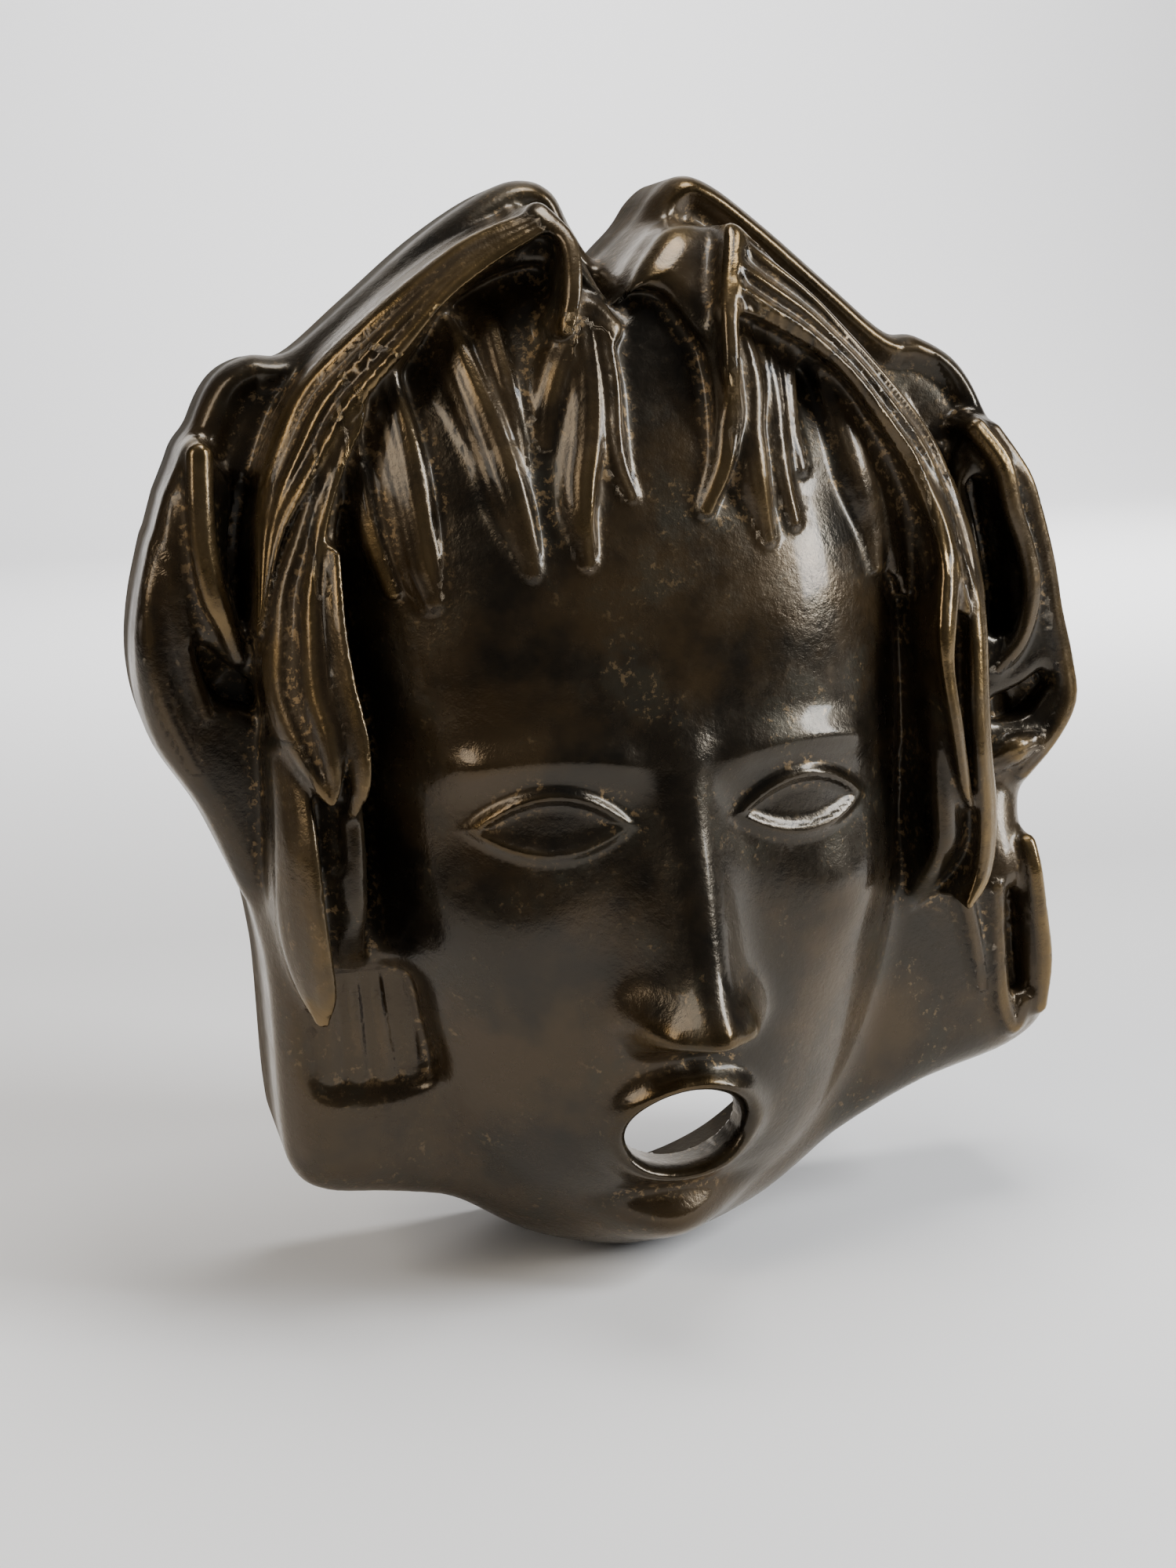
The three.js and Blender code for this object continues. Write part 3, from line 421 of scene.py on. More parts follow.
def skin_top(x, z):
    """Depth of the plain egg of the face, seen from the front."""
    down = (z - FACE_Z) / FACE_HALF[2]
    half = FACE_HALF[0] * (1 + JAW_NARROWS * down)
    level = 1 - np.abs(x / half) ** FACE_FULL - np.abs(down) ** FACE_TALL
    return FACE_BACK + FACE_HALF[1] * np.sqrt(np.maximum(level, 0))


def fringe_top(x, z):
    return np.maximum(skin_top(x, z), dome_top(x, z) - FRONT_UNDER - 1)


def curve_points(points, steps, closed):
    """Smooth curve through the points, as rows, with a number of steps between neighbours."""
    p = np.array(points, float)
    if closed:
        p = np.vstack([p[-1:], p, p[:2]])
    else:
        p = np.vstack([2 * p[0] - p[1], p, 2 * p[-1] - p[-2]])
    rows = []
    for i in range(1, len(p) - 2):
        start, end = p[i], p[i + 1]
        leave, arrive = (end - p[i - 1]) / 2, (p[i + 2] - start) / 2
        for share in np.arange(steps) / steps:
            square, cube = share ** 2, share ** 3
            rows.append((2 * cube - 3 * square + 1) * start + (cube - 2 * square + share) * leave
                        + (3 * square - 2 * cube) * end + (cube - square) * arrive)
    if not closed:
        rows.append(p[-2])
    return np.array(rows)


def outline_distance(points, x, z):
    """Signed distance to a closed outline, below zero inside it."""
    edge = curve_points(points, 6, True)
    nearest = np.full(x.shape, np.inf)
    inside = np.zeros(x.shape, bool)
    for (ax, az), (bx, bz) in zip(edge, np.roll(edge, -1, axis=0)):
        ex, ez = bx - ax, bz - az
        along = clamp(((x - ax) * ex + (z - az) * ez) / (ex * ex + ez * ez))
        nearest = np.minimum(nearest, np.hypot(x - ax - ex * along, z - az - ez * along))
        if az != bz:
            inside ^= ((az > z) != (bz > z)) & (x < ex * (z - az) / ez + ax)
    return np.where(inside, -nearest, nearest)


def nearest_on_path(path, x, z):
    """Distance, signed distance to the left, half width and height at the nearest place of a path."""
    best = np.full(x.shape, np.inf)
    left, half, height, run = (np.zeros(x.shape) for _ in range(4))
    gone = 0.0
    for (ax, az, aw, ah), (bx, bz, bw, bh) in zip(path[:-1], path[1:]):
        ex, ez = bx - ax, bz - az
        length = math.hypot(ex, ez)
        along = clamp(((x - ax) * ex + (z - az) * ez) / length ** 2)
        dx, dz = x - ax - ex * along, z - az - ez * along
        distance = np.hypot(dx, dz)
        closer = distance < best
        best = np.where(closer, distance, best)
        left = np.where(closer, (ex * dz - ez * dx) / length, left)
        half = np.where(closer, aw + (bw - aw) * along, half)
        height = np.where(closer, ah + (bh - ah) * along, height)
        run = np.where(closer, gone + along * length, run)
        gone += length
    return best, left, half, height, run


def family(guides, count):
    """Paths spread evenly between two guide paths with the same number of points."""
    first, second = (np.array(guide, float) for guide in guides)
    return [first + (second - first) * n / (count - 1) for n in range(count)]


def band_share(outer, inner, x, z):
    """Share of the way from outer to inner guide, width, run along the outer one and its length."""
    measured = []
    for guide in (outer, inner):
        path = [(a, b, 1, 1) for a, b in curve_points(guide, 4, False)]
        distance, _, _, _, run = nearest_on_path(path, x, z)
        measured.append((distance, run))
    length = sum(math.dist(a, b) for a, b in zip(outer[:-1], outer[1:]))
    (to_outer, run), (to_inner, _) = measured
    width = np.maximum(to_outer + to_inner, 0.01)
    return to_outer / width, width, run, length


def face_relief(x, z):
    """Relief of the face over its egg, in depth."""
    ax = np.abs(x)
    brow_line = BROW + 5 * (1 - ((ax - EYE_WIDTH) / 32) ** 2)
    brow = 3.4 * bell((z - brow_line) / 6.5) * smooth(6, 20, ax) * (1 - smooth(58, 76, ax))
    socket = -8.5 * bell((ax - EYE_WIDTH + 2) / 23) * bell((z - EYE_LINE) / 12.5)
    across = (ax - EYE_WIDTH) / (EYE_WIDTH / 2)
    opening = 1 - across * across
    rise = z - EYE_LINE
    lid_edge = np.maximum(rise - 8 * opening, -rise - 6 * opening)
    ball = 8 * np.exp(-0.9 * across * across - (rise / 12) ** 2)
    lids = np.where(rise > 0, 3, 2.2) * bell((lid_edge - 1.8) / 2.3) * np.exp(-((across / 1.25) ** 6))
    down = clamp((BROW - z) / (BROW - NOSE_BASE - 7))
    bridge = np.where(z > BROW, 5 * bell((z - BROW) / 14), 5 + 22 * down ** 1.2)
    below = np.where(z < NOSE_BASE + 7, bell((z - NOSE_BASE - 7) / 7), 1)
    nose = bridge * below * np.exp(-((ax / (10.5 + 5.5 * down)) ** 2.2))
    tip = 5 * bell(x / 10) * bell((z - NOSE_BASE - 10) / 9)
    wings = 10 * bell((ax - 15) / 7) * bell((z - NOSE_BASE - 8) / 8.5)
    muzzle = 7 * bell(x / 30) * bell((z - MOUTH) / 26)
    lip_edge = (np.hypot(x / SPOUT_HALF[0], (z - MOUTH) / SPOUT_HALF[1]) - 1) * 16
    lips = 5.5 * bell((lip_edge - 3.5) / 4.2) * (1 - 0.45 * smooth(12, 26, ax))
    philtrum = -1.5 * bell(x / 3.5) * bell((z - (NOSE_BASE + MOUTH + 16) / 2) / 6)
    crease = -3 * bell(x / 22) * bell((z - CHIN - 27) / 5)
    chin = 11 * bell(x / 22) * bell((z - CHIN - 13) / 13)
    cheek = 5 * bell((ax - 58) / 22) * bell((z - EYE_LINE + 32) / 20)
    hollow = -1.5 * bell((ax - 58) / 18) * bell((z - MOUTH - 20) / 24)
    middle = nose + tip + wings + muzzle + lips + philtrum + crease + chin
    return brow + socket + ball + lids + middle + cheek + hollow


def face_egg(x, depth, z):
    """Distance to the plain egg of the face, which has straight sides behind its widest place."""
    down = (z - FACE_Z) / FACE_HALF[2]
    half = FACE_HALF[0] * (1 + JAW_NARROWS * down)
    forward = np.maximum(depth - FACE_BACK, 0) / FACE_HALF[1]
    level = np.abs(x / half) ** FACE_FULL + np.abs(down) ** FACE_TALL + forward ** 2
    return FACE_HALF[1] * (np.sqrt(level) - 1)


class Field:
    """Distances to the casting, at a list of places or on a grid that broadcasts x and z with depth."""

    def __init__(self, x, depth, z):
        self.x, self.depth, self.z = x, depth, z
        self.listed = x.ndim == 1
        self.values = None
        self.lining = None

    def near(self, points, margin):
        """The places around a path or outline: their numbers in a list, or their part of the grid."""
        p = np.array([point[:2] for point in points], float)
        low, high = p.min(axis=0) - margin, p.max(axis=0) + margin
        if self.listed:
            x, z = self.x, self.z
            part = np.flatnonzero((x > low[0]) & (x < high[0]) & (z > low[1]) & (z < high[1]))
            return part, x[part], self.depth[part], z[part]
        corner = GRID_LOW[[0, 2]]
        first = np.maximum((low - corner) / CELL, 0).astype(int)
        last = ((high - corner) / CELL).astype(int) + 2
        part = (slice(first[0], last[0]), slice(first[1], last[1]))
        return part, self.x[part], self.depth, self.z[part]

    def add_masses(self):
        x, depth, z = self.x, self.depth, self.z
        whole_side = outline_distance(FRONT_OUTLINE, x, z)
        front_side = np.maximum(whole_side, -outline_distance(FACE_WINDOW, x, z))
        rear_side = outline_distance(REAR_OUTLINE, x, z)
        dome = dome_top(x, z)
        under_top = dome - FRONT_UNDER - dome * smooth(*UNDER_FALL, z)
        rear = rear_top(x, z) - REAR_DIP * smooth(3, 13, -rear_side) * smooth(-150, -90, z)
        relief = face_relief(x, z)
        front = smooth(FACE_BACK, FACE_BACK + FACE_FADE, depth)
        egg = face_egg(x, depth, z)
        shell = raised(rear_side, depth, rear, REAR_ROUND)
        sheet = dome - FRONT_SINK - FRONT_DROP * (1 - smooth(FRONT_FALL[1], FRONT_FALL[0], z))
        hair = raised(front_side, depth, sheet, FRONT_ROUND)
        under = raised(whole_side, depth, under_top, FRONT_ROUND)
        behind = join(shell, under, MASS_BLEND)
        skin = join(behind, egg - relief * front, MASS_BLEND)
        plain = join(behind, egg - np.maximum(relief, 0) * LINING_FOLLOWS * front, MASS_BLEND)
        self.values = join(skin, hair, MASS_BLEND / 2)
        self.lining = join(plain, hair, MASS_BLEND) + WALL

    def add_lock(self, points, base, tilt, edge):
        path = curve_points(points, 4, False)
        part, x, depth, z = self.near(path, PATH_MARGIN + path[:, 2].max())
        distance, left, half, height, _ = nearest_on_path(path, x, z)
        top = base(x, z) + height + tilt * np.clip(left, -half, half)
        rounding = np.minimum(half * 0.9, edge)
        lock = raised(distance - half, depth, top, rounding)
        self.values[part] = join(self.values[part], lock, LOCK_BLEND)

    def add_band(self, outer, inner, count, start, end):
        """Band of overlapping ribbons between two guides, each with a lip along its outer side."""
        part, x, depth, z = self.near(outer + inner, OUTLINE_MARGIN)
        share, width, run, length = band_share(outer, inner, x, z)
        side = outline_distance(outer + inner[::-1], x, z)
        place = clamp(run / length)
        wave = RIBBON_WAVE * (np.sin(run / 11) + 0.6 * np.sin(run / 4.7 + 2))
        turn = np.mod(share * count + wave, 1)
        fade = smooth(*RIBBON_FADE, width / count)
        fade = fade * smooth(0, RIBBON_START, place)
        ribbon = -RIBBON_RISE / 2 * fade * np.cos(2 * math.pi * turn ** RIBBON_SKEW)
        top = dome_top(x, z) + start + (end - start) * place + ribbon
        band = raised(side, depth, top, BAND_EDGE)
        self.values[part] = join(self.values[part], band, LOCK_BLEND)

    def add_hollow(self, points, base):
        """Steep hollow along a path, down to a floor below what it is sunk into."""
        path = curve_points(points, 4, False)
        part, x, depth, z = self.near(path, PATH_MARGIN + path[:, 2].max())
        distance, _, half, height, _ = nearest_on_path(path, x, z)
        space = np.maximum(distance - half, base(x, z) - height - depth)
        self.values[part] = cut(self.values[part], space, HOLLOW_BLEND)

    def add_pocket(self, points, below):
        """Shallow pocket with soft edges inside an outline, at a depth below the rear layer."""
        part, x, depth, z = self.near(points, OUTLINE_MARGIN)
        space = overlap(outline_distance(points, x, z), rear_top(x, z) - below - depth, HOLLOW_BLEND)
        self.values[part] = cut(self.values[part], space, HOLLOW_BLEND)

    def add_wing(self, points):
        part, x, depth, z = self.near(points, OUTLINE_MARGIN)
        wing = raised(outline_distance(points, x, z), depth, WING_TOP, WING_ROUND)
        self.values[part] = join(self.values[part], wing, HOLLOW_BLEND)

    def hollow_out(self):
        """Open the hollow and the mouth through the finished outside."""
        spout = (np.hypot(self.x / SPOUT_HALF[0], (self.z - MOUTH) / SPOUT_HALF[1]) - 1) * SPOUT_HALF[1]
        inner = overlap(self.lining, self.values + THINNEST, HOLLOW_BLEND)
        space = np.minimum(inner, spout)
        self.values = np.maximum(cut(self.values, space, LOCK_BLEND), BACK_STOP - self.depth)


# Every lock with what it lies on, its tilt and how far its edges are rounded
LOCKS = (
    [(points, rear_top, 0, BAND_EDGE) for points in family(FLUTES_LEFT, FLUTE_COUNT)]
    + [(points, rear_top, 0, LOCK_EDGE) for points in LOWER_LOCKS]
    + [(points, dome_top, SIDE_TILT, LOCK_EDGE) for points in SIDE_LOCKS]
    + [(points, fringe_top, 0, SWELL_EDGE) for points in FRINGE_SWELLS]
    + [(points, fringe_top, FRINGE_TILT, LOCK_EDGE) for points in FRINGE_LOCKS]
    + [(points, dome_top, 0, LOCK_EDGE) for points in HOOD_RIMS]
    + [(points, wing_top, 0, LOCK_EDGE) for points in WING_LOCKS]
)


def casting(x, depth, z):
    """Distance to the finished casting, below zero inside it."""
    field = Field(x, depth, z)
    field.add_masses()
    for points in (WING_LEFT, WING_RIGHT):
        field.add_wing(points)
    for points in HOLLOWS:
        field.add_hollow(points, dome_top)
    for points in WING_HOLLOWS:
        field.add_hollow(points, wing_top)
    field.add_pocket(POCKET, POCKET_DEPTH)
    for band in BANDS:
        field.add_band(*band)
    for lock in LOCKS:
        field.add_lock(*lock)
    field.hollow_out()
    return field.values


def casting_grid():
    size = np.ceil((GRID_HIGH - GRID_LOW) / CELL).astype(int) + 1
    x, depth, z = (GRID_LOW[n] + CELL * np.arange(size[n]) for n in range(3))
    x, z = np.meshgrid(x, z, indexing="ij")
    return casting(x[:, :, None], depth[None, None, :], z[:, :, None])


def sample(grid, places):
    """Values of a grid at places given as x, depth, z."""
    size = np.array(grid.shape)[[0, 2, 1]]
    at = np.clip((places - GRID_LOW) / CELL, 0, size - 1.001)
    low = at.astype(int)
    share = at - low
    total = 0
    for corner in range(8):
        step = np.array([corner & 1, corner >> 1 & 1, corner >> 2 & 1])
        weight = np.prod(np.where(step, share, 1 - share), axis=1)
        i, j, k = (low + step).T
        total = total + grid[i, k, j] * weight
    return total


def surface(values):
    """Points and triangles where the distance is zero, with each cell split into six tetrahedra."""
    nx, nz, nd = values.shape
    flat = values.ravel()
    inside = values < 0
    counts = np.zeros((nx - 1, nz - 1, nd - 1), np.int8)
    for corner in range(8):
        a, b, c = corner & 1, corner >> 1 & 1, corner >> 2 & 1
        counts += inside[a:nx - 1 + a, c:nz - 1 + c, b:nd - 1 + b]
    cells = np.argwhere((counts > 0) & (counts < 8))
    origin = (cells[:, 0] * nz + cells[:, 1]) * nd + cells[:, 2]
    step = np.array([(n & 1) * nz * nd + (n >> 2 & 1) * nd + (n >> 1 & 1) for n in range(8)])
    way = np.array([(n & 1, n >> 1 & 1, n >> 2 & 1) for n in range(8)])
    keys, ways = [], []
    for a, b in ((1, 2), (2, 4), (4, 1), (2, 1), (1, 4), (4, 2)):
        corners = (0, a, a | b, 7)
        signs = np.stack([flat[origin + step[n]] < 0 for n in corners], axis=1)
        code = signs @ np.array([1, 2, 4, 8])
        for kind in range(1, 15):
            here = origin[code == kind]
            if len(here) == 0:
                continue
            within = [n for i, n in enumerate(corners) if kind >> i & 1]
            beyond = [n for n in corners if n not in within]

            def crossing(p, q):
                low, high = p & q, p | q
                return (here + step[low]) * 8 + (high - low)

            if len(within) == 2:
                ring = [crossing(within[0], beyond[0]), crossing(within[0], beyond[1]),
                        crossing(within[1], beyond[1]), crossing(within[1], beyond[0])]
                found = [(ring[0], ring[1], ring[2]), (ring[0], ring[2], ring[3])]
            else:
                single, others = (within[0], beyond) if len(within) == 1 else (beyond[0], within)
                found = [tuple(crossing(single, other) for other in others)]
            for triangle in found:
                keys.append(np.stack(triangle, axis=1))
                ways.append(np.tile(way[beyond[0]] - way[within[0]], (len(here), 1)))
    keys, ways = np.vstack(keys), np.vstack(ways)
    unique, triangles = np.unique(keys, return_inverse=True)
    triangles = triangles.reshape(-1, 3)
    start, direction = unique // 8, unique % 8
    first, second = flat[start], flat[start + step[direction]]
    share = clamp(first / (first - second), 0.03, 0.97)
    node = np.stack([start // (nz * nd), start % nd, start // nd % nz], axis=1)
    points = GRID_LOW + CELL * (node + way[direction] * share[:, None])
    corner = points[triangles]
    normal = np.cross(corner[:, 1] - corner[:, 0], corner[:, 2] - corner[:, 0])
    # Turning depth into -y mirrors the mesh, so the faces that point out here are turned round
    outward = np.einsum("ij,ij->i", normal, ways) > 0
    triangles[outward] = triangles[outward][:, ::-1]
    return points, triangles


def to_frame(places):
    """Places as x, depth, z in millimetres to the frame's metres."""
    return np.stack([places[:, 0], -places[:, 1], places[:, 2]], axis=1) * MM


def to_depths(places):
    """The frame's metres to x, depth, z in millimetres."""
    return np.stack([places[:, 0], -places[:, 1], places[:, 2]], axis=1) / MM


def new_mesh(name, points, triangles):
    mesh = bpy.data.meshes.new(name)
    mesh.vertices.add(len(points))
    mesh.vertices.foreach_set("co", points.astype(np.float32).ravel())
    mesh.loops.add(triangles.size)
    mesh.loops.foreach_set("vertex_index", triangles.astype(np.int32).ravel())
    mesh.polygons.add(len(triangles))
    mesh.polygons.foreach_set("loop_start", np.arange(0, triangles.size, 3, dtype=np.int32))
    mesh.update()
    mesh.validate()
    return mesh


def reduce_mesh(piece, limit):
    """Draw edges together until the mesh has no more triangles than the limit."""
    change = piece.modifiers.new("reduce", "DECIMATE")
    change.ratio = min(1.0, limit / len(piece.data.polygons))
    graph = bpy.context.evaluated_depsgraph_get()
    reduced = bpy.data.meshes.new_from_object(piece.evaluated_get(graph))
    piece.modifiers.clear()
    piece.data = reduced


def cut_back(piece):
    """Cut the mesh off flat at the wall plane, and close the rim."""
    work = bmesh.new()
    work.from_mesh(piece.data)
    everything = work.verts[:] + work.edges[:] + work.faces[:]
    bmesh.ops.bisect_plane(
        work, geom=everything, dist=1e-6, plane_co=(0, 0, 0), plane_no=(0, 1, 0), clear_outer=True)
    rim = [edge for edge in work.edges if edge.is_boundary]
    bmesh.ops.triangle_fill(work, use_beauty=True, use_dissolve=False, edges=rim)
    bmesh.ops.triangulate(work, faces=work.faces[:])
    bmesh.ops.recalc_face_normals(work, faces=work.faces[:])
    work.to_mesh(piece.data)
    work.free()


def turn_edges(piece):
    """Turn mesh edges so that they run along the ridges instead of across them."""
    work = bmesh.new()
    work.from_mesh(piece.data)
    bmesh.ops.beautify_fill(work, faces=work.faces[:], edges=work.edges[:], method="ANGLE")
    work.to_mesh(piece.data)
    work.free()


def slope_at(places):
    """Way in which the distance grows fastest at each place."""
    slope = np.empty(places.shape)
    for axis in range(3):
        step = np.zeros(3)
        step[axis] = SLOPE_STEP
        slope[:, axis] = (casting(*(places + step).T) - casting(*(places - step).T)) / (2 * SLOPE_STEP)
    return slope


def settle(piece):
    """Move each point but the rim's onto the true surface, and return the places and normals."""
    mesh = piece.data
    flat = np.empty(len(mesh.vertices) * 3, np.float32)
    mesh.vertices.foreach_get("co", flat)
    places = to_depths(flat.reshape(-1, 3).astype(float))
    free = places[:, 1] > RIM_DEPTH
    slope = slope_at(places)
    steep = np.maximum(np.einsum("ij,ij->i", slope, slope), LEAST_SLOPE)
    for _ in range(2):
        value = casting(*places.T)
        move = np.clip(value / steep, -CELL / 2, CELL / 2)[:, None] * slope
        places[free] -= move[free]
        places[:, 1] = np.maximum(places[:, 1], 0)
    mesh.vertices.foreach_set("co", to_frame(places).astype(np.float32).ravel())
    slope = slope_at(places)
    normal = np.stack([slope[:, 0], -slope[:, 1], slope[:, 2]], axis=1)
    normal /= np.maximum(np.linalg.norm(normal, axis=1), 1e-6)[:, None]
    return places, normal


def blur(grid, times):
    """Average of each value near the surface with its neighbours, repeated."""
    grid = np.clip(grid, -BLUR_WIDTH, BLUR_WIDTH)
    for _ in range(times):
        for axis in range(3):
            ends = [grid.take([0], axis), grid, grid.take([-1], axis)]
            wide = np.concatenate(ends, axis)
            count = grid.shape[axis]
            sides = [wide.take(range(n, n + count), axis) for n in (0, 2)]
            grid = 0.5 * grid + 0.25 * (sides[0] + sides[1])
    return grid


def add_value(mesh, name, values):
    attribute = mesh.attributes.new(name, "FLOAT", "POINT")
    attribute.data.foreach_set("value", values.astype(np.float32))


def strand_values(places):
    """Distance across the nearest lock of each point, in millimetres, and how much hair covers it."""
    x, z = places[:, 0], places[:, 2]
    rear = outline_distance(REAR_OUTLINE, x, z)
    front = outline_distance(FRONT_OUTLINE, x, z)
    window = outline_distance(FACE_WINDOW, x, z)
    strand = np.where(front > 0, rear, front)
    hair = REAR_STRANDS * smooth(*WINDOW_FADE, window)
    for outer, inner, count, _, _ in BANDS:
        inside = np.flatnonzero(outline_distance(outer + inner[::-1], x, z) < BAND_REACH)
        share, _, _, _ = band_share(outer, inner, x[inside], z[inside])
        strand[inside] = share * count * BAND_STRANDS
        hair[inside] = 1
    pocket = outline_distance(POCKET, x, z)
    strand = np.where(pocket < 0, x, strand)
    hair = np.where(pocket < 0, smooth(0, LOCK_EDGE, -pocket), hair)
    best = np.full(len(x), LOCK_REACH)
    for number, (points, _, _, edge) in enumerate(LOCKS):
        if edge != LOCK_EDGE:
            continue
        path = curve_points(points, 4, False)
        margin = PATH_MARGIN + path[:, 2].max()
        low, high = path[:, :2].min(0) - margin, path[:, :2].max(0) + margin
        near = np.flatnonzero((x > low[0]) & (x < high[0]) & (z > low[1]) & (z < high[1]))
        distance, left, half, _, _ = nearest_on_path(path, x[near], z[near])
        across = distance / np.maximum(half, LEAST_HALF)
        closer = across < best[near]
        chosen = near[closer]
        best[chosen] = across[closer]
        strand[chosen] = left[closer] + number * LOCK_PHASE
        hair[chosen] = 1 - smooth(*STRAND_FADE, across[closer])
    behind = places[:, 1] < INNER_SHARE * fringe_top(x, z) - INNER_LESS
    return strand, np.where(behind & (front < INNER_EDGE), 0, hair)


def shade(piece, grid, places, normal):
    """Store the crests and recesses for the finish, and the true normals for smooth shading."""
    mesh = piece.data
    level = sample(blur(grid, math.ceil(BLUR_WIDTH / CELL)), places)
    add_value(mesh, "crest", np.clip(level, 0, 1))
    add_value(mesh, "recess", np.clip(-level, 0, 1))
    strand, hair = strand_values(places)
    add_value(mesh, "strand", strand)
    add_value(mesh, "hair", hair)
    mesh.shade_smooth()
    corners = np.empty(len(mesh.loops), np.int32)
    mesh.loops.foreach_get("vertex_index", corners)
    normals = normal[corners]
    tips = places[corners].reshape(-1, 3, 3)
    flat = np.repeat(np.all(tips[:, :, 1] < FLAT_DEPTH, axis=1), 3)
    normals[flat] = (0, 1, 0)
    mesh.normals_split_custom_set([tuple(row) for row in normals])


class Nodes:
    """Short ways to add and link shader nodes."""

    def __init__(self, name):
        self.material = bpy.data.materials.new(name)
        self.material.use_nodes = True
        self.tree = self.material.node_tree
        self.tree.nodes.clear()

    def add(self, kind, inputs=None, **settings):
        node = self.tree.nodes.new(kind)
        for name, value in settings.items():
            setattr(node, name, value)
        for name, value in (inputs or {}).items():
            self.put(node.inputs[name], value)
        return node

    def put(self, socket, value):
        if isinstance(value, bpy.types.NodeSocket):
            self.tree.links.new(value, socket)
        else:
            socket.default_value = value

    def math(self, operation, first, second=0.0, limit=False):
        node = self.tree.nodes.new("ShaderNodeMath")
        node.operation = operation
        node.use_clamp = limit
        self.put(node.inputs[0], first)
        self.put(node.inputs[1], second)
        return node.outputs[0]

    def blend(self, share, first, second):
        node = self.add("ShaderNodeMix", data_type="RGBA")
        self.put(node.inputs[0], share)
        self.put(node.inputs[6], first)
        self.put(node.inputs[7], second)
        return node.outputs[2]

    def value(self, name):
        return self.add("ShaderNodeAttribute", attribute_name=name).outputs["Fac"]

    def noise(self, scale, detail=4.0, roughness=0.6, place=None):
        node = self.add("ShaderNodeTexNoise", {"Scale": scale, "Detail": detail, "Roughness": roughness})
        self.put(node.inputs["Vector"], place or self.place)
        return node.outputs["Fac"]

    def stretch(self, value, low, high, start=0.0, end=1.0):
        node = self.add("ShaderNodeMapRange", interpolation_type="SMOOTHSTEP")
        for name, number in zip(("From Min", "From Max", "To Min", "To Max"), (low, high, start, end)):
            node.inputs[name].default_value = number
        self.put(node.inputs["Value"], value)
        return node.outputs["Result"]


def bronze_material():
    """Brown-black patina, rubbed golden on the crests, with waxy gloss and speckled recesses."""
    n = Nodes("patinated_bronze")
    n.place = n.add("ShaderNodeTexCoord").outputs["Object"]
    crest, recess, hair, strand = (n.value(name) for name in ("crest", "recess", "hair", "strand"))
    cloud = n.noise(14.0, 5.0, 0.62)
    blotch = n.noise(45.0, 5.0, 0.65)
    speck = n.noise(420.0, 3.0, 0.7)

    # Brown clouds on black, a green bloom, and hair that is browner than skin
    colour = n.blend(n.stretch(cloud, 0.43, 0.60), DARK, BROWN)
    colour = n.blend(n.math("MULTIPLY", n.stretch(blotch, 0.52, 0.66), 0.35), colour, GREEN)
    browner = n.math("MULTIPLY", n.stretch(hair, 0, 1, 0.2, 0.8), n.stretch(blotch, 0.3, 0.55))
    colour = n.blend(browner, colour, BROWN)

    # Gold where the crests are rubbed
    rub = n.math("MULTIPLY", n.stretch(crest, 0.35, 1.1), n.stretch(cloud, 0.38, 0.62, 0.15, 0.85))
    colour = n.blend(n.math("MULTIPLY", rub, n.stretch(hair, 0, 1, 0.3, 0.8)), colour, GOLD)

    # Ochre in the recesses, and a few ochre specks elsewhere
    dust = n.math("MULTIPLY", n.stretch(recess, 0.02, 0.35), n.stretch(speck, 0.52, 0.62))
    colour = n.blend(n.math("MULTIPLY", dust, n.stretch(blotch, 0.36, 0.54)), colour, OCHRE)
    speckle = n.math("MULTIPLY", n.stretch(speck, 0.56, 0.66), n.stretch(blotch, 0.5, 0.64))
    colour = n.blend(n.math("MULTIPLY", speckle, 0.5), colour, OCHRE)

    # Dull recesses and sides, and bare metal on the rubbed crests
    forward = n.add("ShaderNodeSeparateXYZ", {"Vector": n.place}).outputs["Y"]
    dull_sides = n.stretch(forward, *WALL_SIDE, 0.0, 0.4)
    dull = n.math("ADD", n.stretch(recess, 0.0, 0.5, 0.0, 0.22), dull_sides)
    rough = n.math("ADD", n.stretch(blotch, 0.35, 0.65, 0.20, 0.34), dull)
    coat = n.stretch(forward, *WALL_SIDE, 0.2, 0.0)
    metal = n.stretch(rub, 0.0, 0.6, 0.4, 0.9)

    # Strands of uneven strength, and a fine unevenness all over
    wave = n.math("SINE", n.math("MULTIPLY", strand, 2 * math.pi / STRAND_PITCH))
    uneven = n.stretch(n.noise(30.0, 3.0), 0.35, 0.65, 0.2, 1.0)
    wave = n.math("MULTIPLY", n.math("MULTIPLY", wave, hair), uneven)
    fine = n.math("MULTIPLY", n.math("SUBTRACT", speck, 0.5), 0.5)
    soft = n.math("MULTIPLY", n.math("SUBTRACT", blotch, 0.5), 0.8)
    height = n.math("ADD", n.math("MULTIPLY", wave, 0.4), n.math("ADD", fine, soft))
    bump = n.add("ShaderNodeBump", {"Strength": 0.55, "Distance": 0.0006, "Height": height})

    shader = n.add("ShaderNodeBsdfPrincipled", {
        "Base Color": colour, "Roughness": rough, "Metallic": metal, "Normal": bump.outputs["Normal"],
        "Specular IOR Level": 0.5, "Specular Tint": WARM_GLOSS,
        "Coat Weight": coat, "Coat Roughness": 0.1,
    })
    n.add("ShaderNodeOutputMaterial", {"Surface": shader.outputs["BSDF"]})
    return n.material


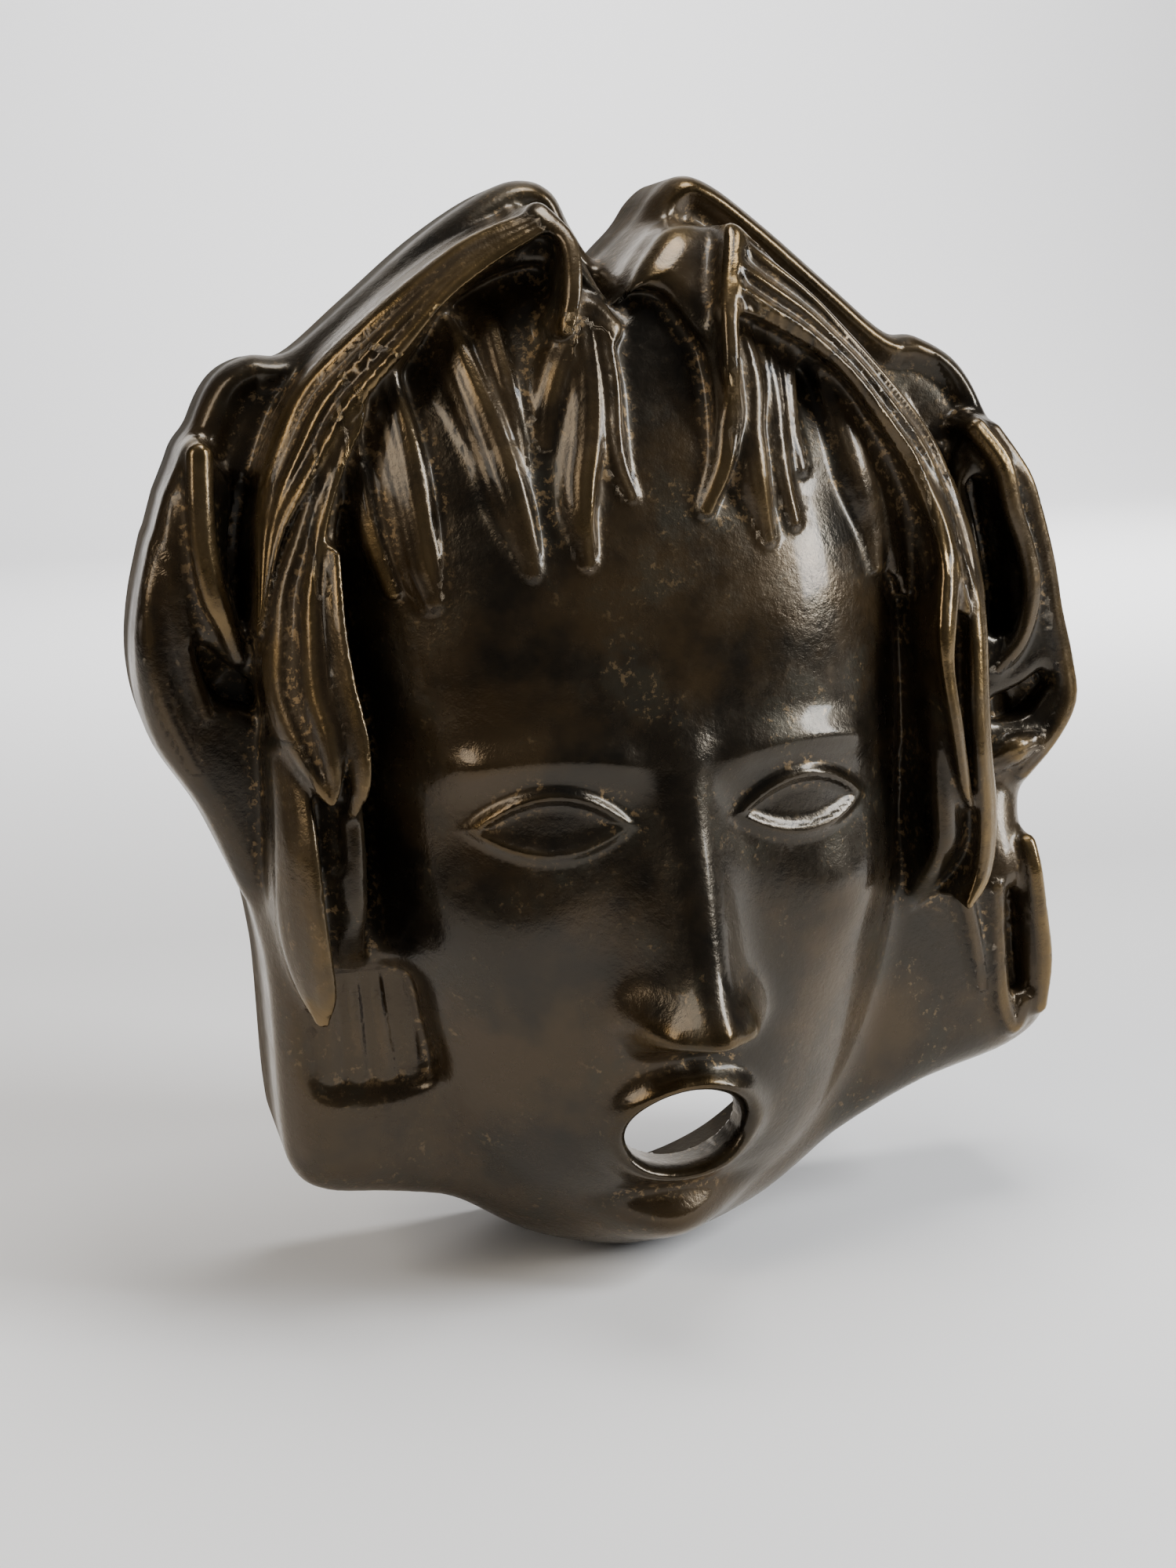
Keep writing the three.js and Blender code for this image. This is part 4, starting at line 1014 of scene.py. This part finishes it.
def make_mask():
    grid = casting_grid()
    points, triangles = surface(grid)
    mesh = new_mesh("mask_bronze", to_frame(points), triangles)
    piece = bpy.data.objects.new("mask_bronze", mesh)
    bpy.context.scene.collection.objects.link(piece)
    reduce_mesh(piece, TRIANGLE_LIMIT)
    cut_back(piece)
    places, normal = settle(piece)
    turn_edges(piece)
    shade(piece, grid, places, normal)
    piece.data.materials.append(bronze_material())
    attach(piece, "root")
    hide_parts("fountain_mask")
    return piece


def make_camera():
    data = bpy.data.cameras.new("camera")
    data.sensor_fit = "VERTICAL"
    data.sensor_height = SENSOR
    data.lens = SENSOR * FOCAL_PIXELS / IMAGE_HEIGHT
    data.clip_start = 0.05
    data.clip_end = 50
    camera = bpy.data.objects.new("camera", data)
    forward = (CAMERA_TARGET - CAMERA_PLACE).normalized()
    turn = forward.to_track_quat("-Z", "Y").to_matrix().to_4x4()
    roll = Matrix.Rotation(math.radians(-CAMERA_ROLL), 4, "Z")
    camera.matrix_world = Matrix.Translation(CAMERA_PLACE * MM) @ turn @ roll
    bpy.context.scene.collection.objects.link(camera)
    bpy.context.scene.camera = camera


def floor_material():
    """Pale paint, with painted shade out of view toward the room in front and on the left, which the
    bronze reflects as a dim room.
    """
    n = Nodes("floor_paint_and_painted_shade")
    place = n.add("ShaderNodeSeparateXYZ", {"Vector": n.add("ShaderNodeTexCoord").outputs["Object"]})
    pale = n.math("MULTIPLY", n.stretch(place.outputs["Y"], *FRONT_FADE),
                  n.stretch(place.outputs["X"], *LEFT_FADE))
    # Painted shade: the floor is dark out of view, standing in for an unlit room in the bronze's
    # reflections
    colour = n.blend(pale, FLOOR_PAINTED_SHADE, FLOOR_PALE)
    shader = n.add("ShaderNodeBsdfPrincipled", {"Base Color": colour, "Roughness": 0.9})
    n.add("ShaderNodeOutputMaterial", {"Surface": shader.outputs["BSDF"]})
    return n.material


def make_floor(height):
    """Floor that bends up into a backdrop far behind the mask."""
    arc = [(BACKDROP_Y + BACKDROP_BEND * math.sin(a), height + BACKDROP_BEND * (1 - math.cos(a)))
           for a in np.linspace(0, math.pi / 2, 16)]
    profile = [(-FLOOR_HALF, height)] + arc + [(BACKDROP_Y + BACKDROP_BEND, height + BACKDROP_HEIGHT)]
    points = [(x, y, z) for y, z in profile for x in (-FLOOR_HALF, FLOOR_HALF)]
    faces = [(2 * n, 2 * n + 1, 2 * n + 3, 2 * n + 2) for n in range(len(profile) - 1)]
    mesh = bpy.data.meshes.new("floor")
    mesh.from_pydata(points, [], faces)
    mesh.shade_smooth()
    mesh.materials.append(floor_material())
    floor = bpy.data.objects.new("floor", mesh)
    bpy.context.scene.collection.objects.link(floor)


def add_light(name, place, target, size, power, colour):
    data = bpy.data.lights.new(name, "AREA")
    data.shape = "RECTANGLE"
    data.size, data.size_y = size
    data.energy = power
    data.color = colour
    light = bpy.data.objects.new(name, data)
    light.location = place
    light.rotation_euler = (Vector(target) - Vector(place)).to_track_quat("-Z", "Y").to_euler()
    bpy.context.scene.collection.objects.link(light)


def make_light():
    for lamp in LAMPS:
        add_light(*lamp)
    world = bpy.data.worlds.new("room")
    bpy.context.scene.world = world
    world.use_nodes = True
    background = world.node_tree.nodes["Background"]
    background.inputs["Color"].default_value = ROOM_COLOUR
    background.inputs["Strength"].default_value = ROOM_STRENGTH


make_camera()
make_mask()
make_floor(CAD_BOX[0][2])
make_light()
